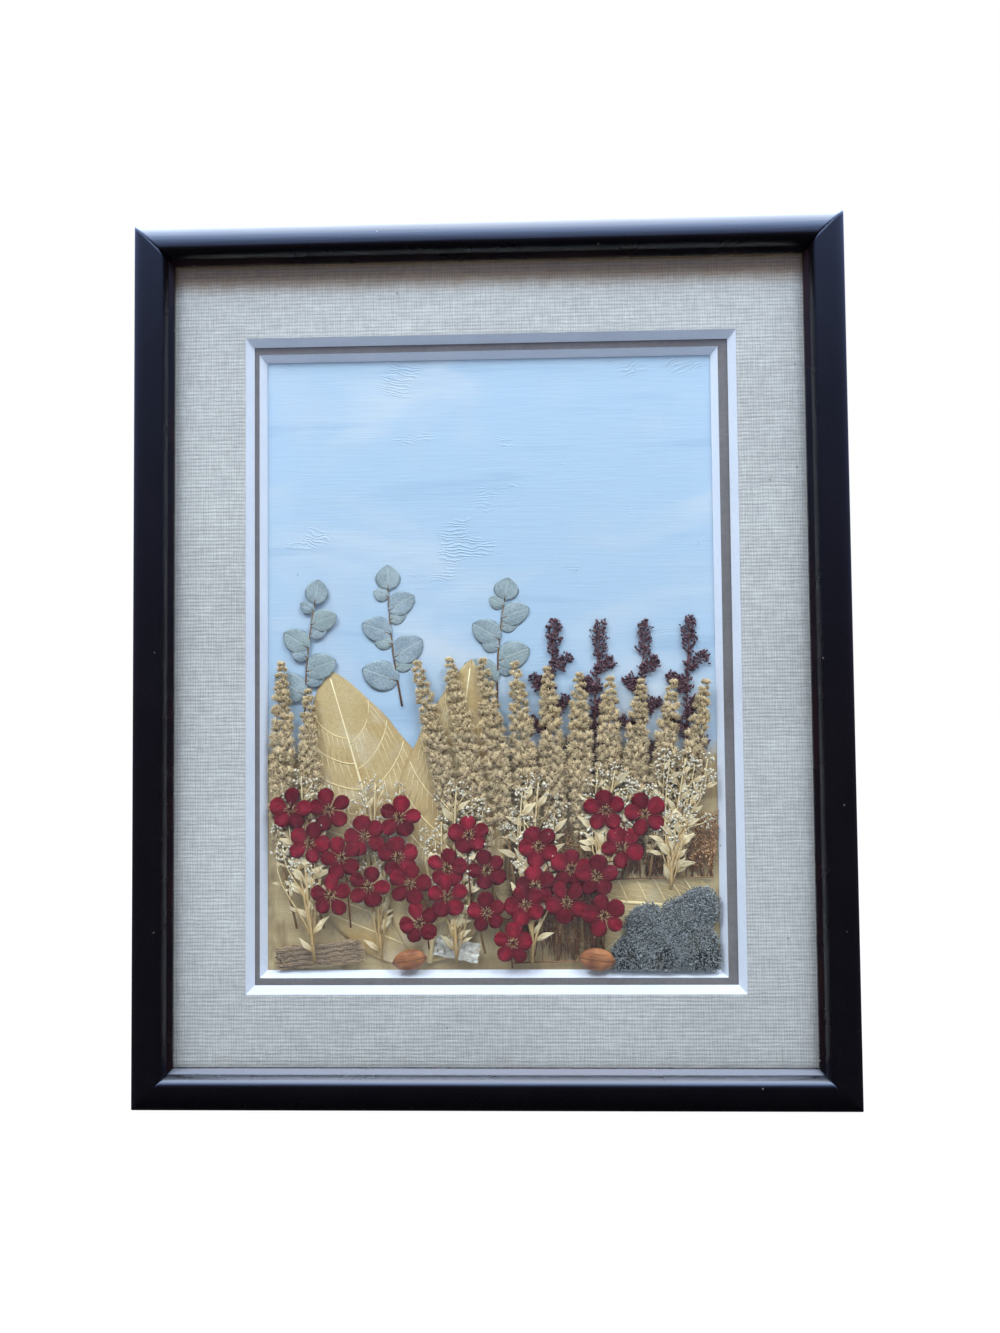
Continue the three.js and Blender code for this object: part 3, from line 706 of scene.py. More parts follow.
sheets = {
    "width": 279.4, "height": 351.6, "inset": 20.0, "softEdge": 0.09,
    "outer": {"back": 12.4, "front": 15.6, "size": (210.2, 280.1), "at": (0.95, -0.9), "bevel": 3.15},
    "inner": {"back": 9.1, "front": 12.1, "size": (198.1, 268.2), "at": (-0.1, -0.95), "bevel": 2.85},
}


def makeMat(side, face):
    spec, inset = sheets[side], sheets["inset"]
    width, height = sheets["width"], sheets["height"]
    mat = block((-width / 2, -height / 2, spec["back"]), (width / 2, height / 2, spec["front"]))
    for facing, size in ((1, 0), (-1, 2 * spec["bevel"])):
        pickFaces(mat, lambda middle, normal: normal.z * facing > 0.9)
        bpy.ops.mesh.inset(thickness=inset)
        ratio = [(spec["size"][k] - size) / ((width, height)[k] - 2 * inset) for k in (0, 1)]
        bpy.ops.transform.resize(value=(*ratio, 1.0), center_override=(0, 0, 0))
        bpy.ops.transform.translate(value=(*spec["at"], 0))
        setMode("OBJECT")
    middle = Vector(spec["at"])
    pickFaces(mat, lambda m, normal: abs(normal.z) > 0.9 and (m.xy - middle).length < 1)
    bpy.ops.mesh.bridge_edge_loops()
    setMode("OBJECT")
    applyModifier(mat, "BEVEL", width=sheets["softEdge"], segments=1, limit_method="ANGLE",
                  angle_limit=math.radians(30))
    for polygon in mat.data.polygons:
        polygon.material_index = 0 if polygon.normal.z > 0.9 else 1
    hang(mat, side + "Mat", [side + "_mat"], [face, cardCore], frameMiddle)


makeMat("outer", linen)
makeMat("inner", taupeCard)
report("mats")

keptNodes = {"glass": glassClear, "art_board": paint, "backing_board": hardboard, "framing_point": steel,
             "hanger": steel}
for node, obj in frame["nodes"].items():
    for start, material in keptNodes.items():
        if node.startswith(start):
            obj.data.materials.clear()
            obj.data.materials.append(material)
report("glass, boards and hardware")


# dried plants: each specimen is one bundle of small parts, copied from shapes modelled once


def newBundle():
    return {"verts": [], "growth": [], "faces": [], "paints": [], "count": 0}


def shapeFrom(obj):
    # takes a modelled shape as arrays; growth runs across -1 to 1 and along 0 to 1
    mesh = obj.data
    verts = np.empty(len(mesh.vertices) * 3)
    mesh.vertices.foreach_get("co", verts)
    verts = verts.reshape(-1, 3)
    low, high = verts.min(0)[:2], verts.max(0)[:2]
    growth = (verts[:, :2] - low) / (high - low)
    growth[:, 0] = growth[:, 0] * 2 - 1
    shape = {"verts": verts, "growth": growth, "faces": [list(p.vertices) for p in mesh.polygons]}
    bpy.data.objects.remove(obj)
    return shape


def addCopies(bundle, shape, places, frames, tints, paint=0):
    verts = np.einsum("nij,vj->nvi", frames, shape["verts"]) + places[:, None, :]
    count, size = verts.shape[:2]
    growth = np.empty((count, size, 3))
    growth[:, :, :2] = shape["growth"]
    growth[:, :, 2] = np.asarray(tints)[:, None]
    starts = bundle["count"] + np.arange(count) * size
    for face in shape["faces"]:
        bundle["faces"] += (starts[:, None] + np.array(face)).tolist()
        bundle["paints"] += [paint] * count
    bundle["verts"].append(verts.reshape(-1, 3))
    bundle["growth"].append(growth.reshape(-1, 3))
    bundle["count"] += count * size


def addCopy(bundle, shape, place, frame, tint, paint=0):
    addCopies(bundle, shape, np.array([place], float), np.array([frame], float), [tint], paint)


def addAimed(bundle, rng, shape, places, directions, rolls, sizes, tints=None, paint=0):
    # copies whose own y runs along the directions, with random tints unless they are given
    if tints is None:
        tints = rng.uniform(0, 1, len(places))
    addCopies(bundle, shape, places, aimed(directions, rolls, np.stack(sizes, 1)), tints, paint)


def addTube(bundle, points, radii, tint=0.5, sides=5, flat=1.0, paint=0):
    points = np.asarray(points, float)
    radii = np.broadcast_to(np.asarray(radii, float), (len(points),))
    tangent = np.gradient(points, axis=0)
    tangent /= np.linalg.norm(tangent, axis=1, keepdims=True)
    side = np.cross(tangent, (0.0, 0.0, 1.0))
    side /= np.maximum(np.linalg.norm(side, axis=1, keepdims=True), 1e-6)
    front = np.cross(side, tangent)
    angles = np.arange(sides) * 2 * math.pi / sides
    ring = side[:, None] * np.cos(angles)[:, None] + flat * front[:, None] * np.sin(angles)[:, None]
    verts = points[:, None] + ring * radii[:, None, None]
    growth = np.empty(verts.shape)
    growth[..., 0] = np.cos(angles)[None, :]
    growth[..., 1] = np.linspace(0, 1, len(points))[:, None]
    growth[..., 2] = tint
    start = bundle["count"]
    faces = [[start + j for j in range(sides)]]
    for i in range(len(points) - 1):
        for j in range(sides):
            a, b = start + i * sides + j, start + i * sides + (j + 1) % sides
            faces.append([a, a + sides, b + sides, b])
    last = start + (len(points) - 1) * sides
    faces.append([last + j for j in reversed(range(sides))])
    bundle["faces"] += faces
    bundle["paints"] += [paint] * len(faces)
    bundle["verts"].append(verts.reshape(-1, 3))
    bundle["growth"].append(growth.reshape(-1, 3))
    bundle["count"] += verts.shape[0] * sides


def aimed(directions, rolls, sizes):
    # frames whose y runs along each direction, rolled about it, and sized across, along and deep
    along = directions / np.linalg.norm(directions, axis=1, keepdims=True)
    side = np.cross(along, (0.0, 0.0, 1.0))
    length = np.linalg.norm(side, axis=1, keepdims=True)
    side = np.where(length > 1e-4, side / np.maximum(length, 1e-4), (1.0, 0.0, 0.0))
    front = np.cross(side, along)
    c, s = np.cos(rolls)[:, None], np.sin(rolls)[:, None]
    columns = [side * c - front * s, along, front * c + side * s]
    return np.stack([columns[k] * sizes[:, k:k + 1] for k in range(3)], axis=2)


def flatFrame(angle, across, along, deep=1.0):
    # a frame lying in the picture's plane, its y turned by the angle from upright
    c, s = math.cos(angle), math.sin(angle)
    return [[c * across, -s * along, 0.0], [s * across, c * along, 0.0], [0.0, 0.0, deep]]


def growLine(foot, tip, bow=0.0):
    start = np.array(foot, float)
    axis = np.array(tip, float) - start
    length = float(np.hypot(*axis))
    side = np.array((-axis[1], axis[0])) / length

    def at(along, across=0.0, deep=0.0):
        along, across, deep = np.broadcast_arrays(*(np.asarray(v, float) for v in (along, across, deep)))
        shift = across + bow * np.sin(np.pi * along)
        flat = start + along[..., None] * axis + shift[..., None] * side
        return np.concatenate([flat, deep[..., None]], axis=-1)

    return at, length, math.atan2(axis[1], axis[0]) - math.pi / 2


def wobble(i, salt):
    return math.sin(i * 12.9898 + salt * 4.1414)


def buildPlant(bundle, name, nodes, materials, depth=None):
    # depth: the nearest and farthest from the wall that the plant may reach
    verts = np.concatenate(bundle["verts"])
    if depth:
        verts[:, 2] = np.clip(verts[:, 2], *depth)
    mesh = bpy.data.meshes.new(name)
    mesh.from_pydata(verts.tolist(), [], bundle["faces"])
    growth = mesh.attributes.new("growth", "FLOAT_VECTOR", "POINT")
    growth.data.foreach_set("vector", np.concatenate(bundle["growth"]).astype(np.float32).ravel())
    mesh.polygons.foreach_set("use_smooth", [True] * len(mesh.polygons))
    plant = bpy.data.objects.new(name, mesh)
    bpy.context.scene.collection.objects.link(plant)
    hang(plant, name, nodes, materials)
    mesh.polygons.foreach_set("material_index", bundle["paints"])
    mesh.update()


def plantAll(grow, places, name, node, materials, depth=None):
    # one specimen for each place, numbered from 1
    for i, place in enumerate(places):
        buildPlant(grow(i, *place), f"{name}{i + 1}", [f"{node}_{i + 1}"], materials, depth)


def makePlantMaterial(name, root, tip, spot, turn=0.5, mottle=300.0, spots=0.3, spread=0.5, rough=0.8,
                      sheen=0.0, vein=None):
    material, tree, shader = newMaterial(name, Roughness=rough, SheenWeight=sheen, SpecularIORLevel=0.12)
    growth = attributePlace(tree)
    dried = useGroup(tree, driedGroup, {
        "Growth": growth, "Root": root, "Tip": tip, "Spot": spot, "Turn": turn,
        "Mottle Scale": mottle, "Spots": spots, "Spread": spread})
    colour, height = dried["Color"], dried["Height"]
    if vein:
        # fine lines that run from root to tip
        lines = noise(growth, 1.0, 3.0, 0.6, stretch=(vein["count"], vein["count"] * 0.12, 1.0))
        colour = blend(lines.remap(0.5, 0.68, 0.0, vein["strength"]), colour, vein["colour"])
        height = height + lines
    dress(shader, colour, height, 0.0001)
    return material


def makeBlade(rows, columns, outline, thickness):
    # a thin blade: a grid bent to its outline, then given its thickness
    deselectAll()
    bpy.ops.mesh.primitive_grid_add(x_subdivisions=columns, y_subdivisions=rows, size=2)
    blade = bpy.context.object
    for vertex in blade.data.vertices:
        vertex.co = outline(vertex.co.x, (vertex.co.y + 1) / 2)
    applyModifier(blade, "SOLIDIFY", thickness=thickness, offset=-1)
    return blade


# shapes that are copied many times


def makeBud(levels):
    deselectAll()
    bpy.ops.mesh.primitive_ico_sphere_add(subdivisions=levels, radius=0.5, location=(0, 0.5, 0))
    return shapeFrom(settle())


def makeBract(sides):
    # a slim spindle that is widest at a third of its length
    deselectAll()
    bpy.ops.mesh.primitive_cone_add(
        vertices=sides, radius1=0.5, radius2=0, depth=0.65, end_fill_type="TRIFAN",
        location=(0, 0.675, 0), rotation=(-math.pi / 2, 0, 0))
    bract = settle()
    pick(bract, "VERT", lambda vertex: vertex.co.y < 0.4 and vertex.co.xz.length < 0.01)
    bpy.ops.transform.translate(value=(0, -0.35, 0))
    setMode("OBJECT")
    return shapeFrom(bract)


budShape = makeBud(1)
bractShape = makeBract(4)
bristleShape = makeBract(3)
tuftShape = makeBud(2)


# skeleton leaves

skeletonLeaf = {
    # foot, tip, width, depth
    "places": [((-34, 3), (-70, 128), 66, 9.1), ((-27, 3), (-8, 132), 52, 9.95),
               ((94, 25), (0, 33), 46, 9.1)],
    "rows": 44, "columns": 26, "thickness": 0.12, "midrib": (1.0, 0.2), "sideVeins": 9, "rungs": 9,
    "rungWidth": 0.09,
}


def broadProfile(along):
    return np.sin(np.pi * np.clip(along, 0, 1) ** 0.72) ** 0.75


def makeSkeletonMaterial():
    # thin straw-yellow blade with a fine net, aged edges and small brown spots
    material, tree, shader = newMaterial("strawSkeletonLeaf", Roughness=0.62)
    place = objectPlace(tree)
    across = split(attributePlace(tree))[0]
    cloud = noise(place, 34.0, 5.0, 0.6)
    colour = blend(cloud.remap(0.38, 0.66), "#dcc393", "#c2a067")
    colour = blend(noise(place, 70.0, 3.0, 0.5).remap(0.52, 0.7, 0.0, 0.6), colour, "#e9dcc0")
    # the net lies on a slightly warped place
    warp = noise(place, 90.0, 2.0)
    shift = wire(tree, "ShaderNodeCombineXYZ", {0: warp * 0.002, 2: warp * -0.0015})
    bent = wire(tree, "ShaderNodeVectorMath", {0: place, 1: shift}, operation="ADD")
    lines = net(bent, 560.0, 0.1, 0.8).larger(net(bent, 1500.0, 0.16, 0.45))
    colour = blend(lines * 0.5, colour, "#a98650")
    edge = abs(across).remap(0.9, 1.0)
    blotch = noise(place, 120.0, 4.0, 0.65).remap(0.6, 0.74)
    colour = blend((blotch * 0.4).larger(edge * 0.4), colour, "#96703f")
    distance, drawn = cells(place, 210.0)
    spots = distance.remap(0.1, 0.17, 1.0, 0.0) * (drawn > 0.965)
    colour = blend(spots * 0.75, colour, "#5b4028")
    dress(shader, colour, lines * 0.6 + cloud * 2.0, 0.00014)
    return material


def growSkeletonLeaf(index, foot, tip, width, back):
    s = skeletonLeaf
    at, length, _ = growLine(foot, tip)

    def surface(across, along):
        ripple = 0.05 * math.sin(9 * along + 3 * across + index) + 0.04 * math.sin(23 * along - 7 * across)
        return back + 0.28 + ripple - 0.1 * across * across

    def outline(across, along):
        edge = 1 + 0.015 * math.sin(along * 41 + index) * abs(across) ** 4
        half = width / 2 * float(broadProfile(along)) * edge
        return at(along, -across * half, surface(across, along))

    def veinPoint(share, along):
        half = width / 2 * broadProfile(along)
        return at(along, share * half, surface(share, along) + 0.05)

    def reach(vein, share, out, most):
        side, root, rise = vein
        return veinPoint(side * 0.95 * out, min(root + rise * share ** 1.35, most))

    bundle = newBundle()
    shape = shapeFrom(makeBlade(s["rows"], s["columns"], outline, s["thickness"]))
    # growth follows the leaf's own line
    line = np.array(tip) - foot
    flat = shape["verts"][:, :2] - foot
    along = flat @ line / length ** 2
    across = flat @ np.array((-line[1], line[0])) / length
    shape["growth"] = np.stack([across / np.maximum(width / 2 * broadProfile(along), 1.0), along], 1)
    addCopy(bundle, shape, (0, 0, 0), np.eye(3), 0.5)

    midrib = [veinPoint(0.0, t) for t in np.linspace(0.0, 0.97, 16)]
    addTube(bundle, midrib, np.linspace(*s["midrib"], 16), 0.9, 6, 0.25, 1)
    for side in (-1, 1):
        veins = [(side, 0.05 + 0.088 * i + 0.01 * side, 0.17 - 0.006 * i) for i in range(s["sideVeins"])]
        for i, vein in enumerate(veins):
            points = [reach(vein, u, u, 0.985) for u in np.linspace(0, 1, 9)]
            addTube(bundle, points, np.linspace(0.46 - 0.02 * i, 0.13, 9), 0.8, 6, 0.4, 1)
        for i, (vein, nextVein) in enumerate(zip(veins, veins[1:])):
            for k in range(1, s["rungs"]):
                u = k / s["rungs"] + 0.02 * wobble(k, i)
                low, high = reach(vein, u, u, 0.97), reach(nextVein, u, min(u + 0.04, 1), 0.98)
                middle = (low + high) / 2 + (0.5 * wobble(k, i + 5), 0.4 * wobble(k, i + 9), 0)
                addTube(bundle, [low, middle, high], s["rungWidth"], 0.6, 4, 0.9, 1)
    return bundle


skeletonBlade = makeSkeletonMaterial()
leafVein = makePlantMaterial("paleLeafVein", "#e6cf9c", "#f3e4be", "#bd9c64", mottle=260.0, rough=0.7)
plantAll(growSkeletonLeaf, skeletonLeaf["places"], "skeletonLeaf", "skeleton_leaf",
         [skeletonBlade, leafVein])
report("skeleton leaves")


# sprigs of round grey-green leaves

roundSprig = {
    # foot, tip, leaf size, depth
    "places": [((-80, 106), (-74, 166), 15, 9.95), ((-38, 112), (-44, 172), 16, 9.1),
               ((3, 112), (8, 166), 16, 9.1)],
    "leaves": 4, "rows": 14, "columns": 12,
}


def roundOutline(across, along):
    half = 0.43 * math.sin(math.pi * min(max(along, 0.0), 1.0) ** 0.85) ** 0.6
    cup = 0.02 * math.sin(5 * along + 2 * across) - 0.03 * abs(across) ** 3
    cup -= 0.012 * math.exp(-(across * 6) ** 2)
    return Vector((across * half, along, cup))


roundShape = shapeFrom(makeBlade(roundSprig["rows"], roundSprig["columns"], roundOutline, 0.008))


def makeRoundLeafMaterial():
    # thin mottled leaf with a darker rim, a pale midrib and a fine net of side veins
    material, tree, shader = newMaterial("greyGreenLeaf", Roughness=0.6)
    place = objectPlace(tree)
    across, along, tint = split(attributePlace(tree))
    spread = abs(across)
    cloud = noise(place, 130.0, 4.0, 0.65)
    colour = blend(cloud.remap(0.36, 0.66), "#8292a0", "#a9b8c4")
    colour = blend(noise(place, 900.0, 2.0, 0.6).remap(0.5, 0.7, 0.0, 0.45), colour, "#6d7f82")
    colour = blend(tint * 0.4, colour, "#98a69b")
    midrib = spread.remap(0.015, 0.05, 0.6, 0.0)
    slant = along * 8.0 + spread * -3.2 + cloud * 1.6
    ribs = abs((slant * math.pi).sine()).remap(0.0, 0.14, 0.4, 0.0)
    lines = midrib.larger(ribs).larger(net(place, 700.0, 0.1, 0.35))
    colour = blend(lines, colour, "#cdd6cf")
    rim = spread.remap(0.86, 0.99).larger(along.remap(0.93, 0.995))
    brown = noise(place, 260.0, 3.0, 0.6).remap(0.6, 0.74, 0.0, 0.45)
    colour = blend((rim * 0.7).larger(brown), colour, "#566265")
    dress(shader, colour, lines + cloud * 1.5, 0.00014)
    return material


def growRoundSprig(index, foot, tip, size, back):
    leaves = roundSprig["leaves"]
    at, length, _ = growLine(foot, tip, 1.5)
    bundle = newBundle()
    addTube(bundle, at(np.linspace(0, 0.92, 12), 0, back + 0.2), np.linspace(0.42, 0.2, 12), 0.4, 6, 0.4, 1)

    def addLeaf(root, end, width, lift, tint):
        line = end[:2] - root[:2]
        reach = float(np.hypot(*line))
        turn = math.atan2(line[1], line[0]) - math.pi / 2
        place = np.array((root[0], root[1], back + lift))
        addCopy(bundle, roundShape, place, flatFrame(turn, width / 0.86, reach, 8.0), tint)
        stalk = [place, place + (*(0.25 * line), 0.05)]
        addTube(bundle, stalk, (0.25, 0.12), 0.3, 4, 0.5, 1)

    for i in range(leaves):
        along = 0.18 + 0.68 * i / leaves
        side = 1 if i % 2 == 0 else -1
        span = size * (1 - 0.3 * i / leaves)
        end = at(along + 0.45 * span / length, side * span * 0.9)
        addLeaf(at(along, -side * 0.4), end, span * 0.84, 0.36, 0.5 + 0.5 * wobble(i, index))
        small = span * 0.62
        end = at(along + 0.1 + 0.4 * small / length, -side * small * 0.86)
        addLeaf(at(along + 0.1, side * 0.3), end, small * 0.84, 0.2, 0.5 + 0.5 * wobble(i, index + 4))
    addLeaf(at(0.84), at(1.02), size * 0.68, 0.36, 0.6)
    return bundle


roundLeafMaterial = makeRoundLeafMaterial()
brownStem = makePlantMaterial("brownStem", "#6d4d33", "#9b7a55", "#3f2a1c", mottle=500.0, spots=0.5)
plantAll(growRoundSprig, roundSprig["places"], "roundLeafSprig", "round_leaf_sprig",
         [roundLeafMaterial, brownStem])
report("round-leaf sprigs")


# sprigs of small purple buds

budSprig = {
    "across": [26, 46, 66, 86], "foot": 74, "top": 158, "spread": 11.5, "layer": (9.1, 10.5),
    "plumes": 5, "slope": 0.9, "budsEach": 150, "budsOnTop": 190, "budLength": (0.8, 1.5),
    "within": (9.05, 10.7), "seed": 40,
}


def addPlume(bundle, rng, centre, angle, width, length, count, middle, half):
    # a side twig with short stalks, each with small buds along it
    axis = np.array((-math.sin(angle), math.cos(angle), 0.0))
    side = np.array((math.cos(angle), math.sin(angle), 0.0))
    root = np.array((*centre, middle)) - axis * length / 2
    steps = np.linspace(0, 0.92, 6)[:, None]
    addTube(bundle, root + axis * length * steps, np.linspace(0.3, 0.12, 6), 0.4, 4, 0.6, 1)
    stalks = count // 9
    t = (np.arange(stalks) + rng.uniform(0, 1, stalks)) / stalks
    sign = np.where(np.arange(stalks) % 2 == 0, 1, -1)
    swell = np.sin(np.pi * np.clip(t * 0.9 + 0.05, 0, 1) ** 0.8) ** 0.5
    reach = sign * rng.uniform(0.35, 1.0, stalks) * width / 2 * swell
    for k in range(stalks):
        start = root + axis * length * t[k] * 0.9
        end = start + side * reach[k] + axis * abs(reach[k]) * 0.75
        end[2] = middle + rng.uniform(-0.6, 0.6) * half
        addTube(bundle, [start, end], (0.13, 0.09), 0.5, 3, 1.0, 1)
        share = rng.uniform(0.15, 1.08, 9)
        places = start + (end - start) * share[:, None] + rng.normal(0, 0.32, (9, 3)) * (1, 1, 0.5)
        headings = (end - start) * 0.5 + axis * 0.8 + rng.normal(0.0, 0.7, (9, 3))
        long = rng.uniform(*budSprig["budLength"], 9)
        wide = long * rng.uniform(0.6, 0.85, 9)
        addAimed(bundle, rng, budShape, places, headings, share, (wide, long, wide * 0.8))


def growBudSprig(index, x):
    s = budSprig
    rng = np.random.default_rng(s["seed"] + index)
    back, front = s["layer"]
    middle, half = (back + front) / 2, (front - back) / 2
    foot = (x - 2, s["foot"])
    tip = (x + 2.5 * wobble(index, 2), s["top"] + 9 * wobble(index, 1))
    at, _, angle = growLine(foot, tip, 1)
    bundle = newBundle()
    addTube(bundle, at(np.linspace(0, 0.93, 10), 0, middle - 0.2), np.linspace(0.5, 0.22, 10), 0.3, 5, 0.7, 1)

    def add(centre, angle, width, length, count):
        addPlume(bundle, rng, centre[:2], angle, width, length, count, middle, half)

    for i in range(s["plumes"]):
        along = 0.18 + 0.6 * i / s["plumes"]
        side = 1 if i % 2 else -1
        reach = s["spread"] * (1.05 - 0.5 * along + 0.12 * wobble(i, index))
        centre = at(along + 0.07, side * reach * math.sin(s["slope"]) / 2 - side * 0.3)
        add(centre, angle + side * s["slope"], 7.0, reach * 1.3, s["budsEach"])
        low = at(along - 0.05, -side * reach * 0.3)
        add(low, angle - side * s["slope"] * 0.8, 6.0, reach * 0.9, s["budsEach"] // 2)
    add(at(0.55), angle, 6, 34, s["budsOnTop"])
    add(at(0.88), angle, 7.5, 18, s["budsOnTop"])
    return bundle


# painted shade: the buds' dark root colour stands for the shade in the gaps between them
purpleBud = makePlantMaterial("purpleBud", "#33202a", "#7a5a60", "#a58d8c", turn=0.6, mottle=900.0, spots=0.4,
                              spread=1.0, rough=0.75)
wineStem = makePlantMaterial("wineStem", "#6e4a45", "#8d655c", "#4a2f2f", mottle=500.0, spots=0.4)
tanStem = makePlantMaterial("tanStem", "#a17f58", "#c7a981", "#6d4d33", mottle=400.0, spots=0.4)
plantAll(growBudSprig, zip(budSprig["across"]), "purpleBudSprig", "purple_bud_sprig",
         [purpleBud, wineStem], budSprig["within"])
report("purple bud sprigs")


# tan seed spikes

seedSpike = {
    "fan": {"x": 38, "y": -170, "first": -13, "step": 2.6, "count": 10, "foot": 182, "neck": 221, "tip": 302},
    "mossLeft": 46, "mossTop": 38, "width": 10.6, "layer": (10.9, 13.15),
    "pitch": 2.45, "ranks": (-0.6, 0.0, 0.6), "bristles": 58, "bristleLength": (1.9, 3.3),
    "bristleWidth": 0.42, "seed": 70,
}


def spikePlaces():
    s, fan = seedSpike, seedSpike["fan"]
    places = []
    for i in range(fan["count"]):
        lean = math.radians(fan["first"] + i * fan["step"])
        at = lambda r: (fan["x"] + r * math.sin(lean), fan["y"] + r * math.cos(lean))
        overMoss = at(fan["foot"] + 8)[0] > s["mossLeft"]
        foot = at((s["mossTop"] - fan["y"]) / math.cos(lean) if overMoss else fan["foot"])
        places.append((foot, at(fan["neck"] + 6 * wobble(i, 3)), at(fan["tip"] + 8 * wobble(i, 5))))
    for i in range(2):
        x = -89 + i * 11.5
        places.append(((x + 6, 18), (x, 44 - 6 * i), (x - 0.6, 132 - 12 * i)))
    return places


def growSpike(index, foot, neck, tip):
    # woolly tufts in crowded ranks, each a small ball of bristles
    s = seedSpike
    rng = np.random.default_rng(s["seed"] + index)
    back, front = s["layer"]
    middle = (back + front) / 2
    at, length, angle = growLine(neck, tip)
    axis = np.array((-math.sin(angle), math.cos(angle), 0.0))
    side = np.array((math.cos(angle), math.sin(angle), 0.0))
    bundle = newBundle()
    rows, ranks = int(length / s["pitch"]), len(s["ranks"])
    row = np.repeat(np.arange(rows), ranks)
    rank = np.tile(s["ranks"], rows) + row % 2 * 0.24 - 0.12
    t = np.clip((row + 0.5) / rows + rng.normal(0, 0.24, len(row)) / rows, 0.015, 0.985)
    radius = s["width"] / 2 * np.sin(np.pi * t ** 0.7) ** 0.45
    rank = np.clip(rank + rng.normal(0, 0.07, len(t)), -0.74, 0.74)
    hearts = at(t, -rank * radius, middle + (0.3 - 0.8 * rank ** 2) + rng.normal(0, 0.15, len(t)))
    ball = np.clip(radius / s["width"] * 2.1, 0.45, 1.05) * rng.uniform(0.8, 1.22, len(t))
    tints = rng.uniform(0.1, 0.9, len(t))
    # a soft lump at the heart of each tuft, given low tints as painted shade inside it, hidden by fine
    # bristles that point all ways but mostly outwards
    lump = (3.1 * ball, 3.4 * ball, 1.6 * ball)
    addAimed(bundle, rng, tuftShape, hearts - axis * 1.7 * ball[:, None], hearts * 0 + axis, tints * 6, lump,
             tints * 0.4)
    lean = axis * 0.45 + side * (rank * 0.7)[:, None] + (0, 0, 0.3)
    hearts, lean, ball, tints = (np.repeat(v, s["bristles"], axis=0) for v in (hearts, lean, ball, tints))
    total = len(tints)
    scatter = rng.normal(0, 1, (total, 3))
    scatter /= np.linalg.norm(scatter, axis=1, keepdims=True)
    long = rng.uniform(*s["bristleLength"], total) * ball
    wide = s["bristleWidth"] * rng.uniform(0.7, 1.4, total)
    rolls = rng.uniform(0, 3, total)
    tints = np.clip(tints + rng.normal(0, 0.1, total), 0, 1)
    addAimed(bundle, rng, bristleShape, hearts + scatter * 0.35 * (1, 1, 0.5), scatter + lean, rolls,
             (wide, long, wide), tints)
    for verts in bundle["verts"]:
        verts[:, 2] = middle + np.tanh((verts[:, 2] - middle) / 1.35) * (front - middle)
    stalk = np.array([(*foot, middle), (*neck, middle), *at(np.linspace(0.1, 0.9, 6), 0, middle)])
    addTube(bundle, stalk, np.linspace(0.6, 0.25, len(stalk)), 0.4, 6, 0.8, 1)
    return bundle


# painted shade: the bristles' dark root colour stands for the shade in the gaps between the woolly tufts
tanBristle = makePlantMaterial("tanSeedBristle", "#634a32", "#e0c8a0", "#a07c52", turn=0.42, mottle=260.0,
                               spread=0.55, rough=0.9)
plantAll(growSpike, spikePlaces(), "seedSpike", "seed_spike", [tanBristle, tanStem])
report("seed spikes")


# silvery sprays

silverSpray = {
    "across": [-80, -50, -16, 18, 50, 80], "spread": 15, "forks": 3, "sideStems": 9,
    "clusterBuds": 16, "leaves": 10, "leafLength": (6.0, 11.0), "leafShare": 0.24,
    "layer": (13.35, 13.95), "lowAt": -50, "lowLayer": (10.9, 11.5), "seed": 120,
}


def narrowOutline(across, along):
    # pointed leaf, folded along its middle and curled at its tip
    half = 0.5 * math.sin(math.pi * min(max(along, 0.0), 1.0) ** 0.85) ** 0.85
    curl = 0.1 * math.sin(2.6 * along * math.pi) * along
    lift = 0.5 * abs(across) ** 1.4 * half + 0.5 * math.sin(3.1 * along)
    return Vector((across * half + curl, along, lift))


narrowShape = shapeFrom(makeBlade(8, 4, narrowOutline, 0.2))


def addBudCluster(bundle, rng, centre, radius, count, middle, half):
    # woolly buds that crowd round the end of a stalk
    turn = rng.uniform(0, 2 * math.pi, count)
    out = radius * np.sqrt(rng.uniform(0, 1, count)) * 0.8
    directions = np.stack([np.cos(turn), np.sin(turn), rng.uniform(-0.3, 0.5, count)], 1)
    places = np.array((*centre, middle)) + directions * out[:, None] * (1, 1, 0)
    places[:, 2] += rng.uniform(-0.5, 0.6, count) * half
    long = rng.uniform(1.0, 1.7, count)
    addAimed(bundle, rng, budShape, places, directions, turn, (long * 0.75, long, np.full(count, 0.75)))


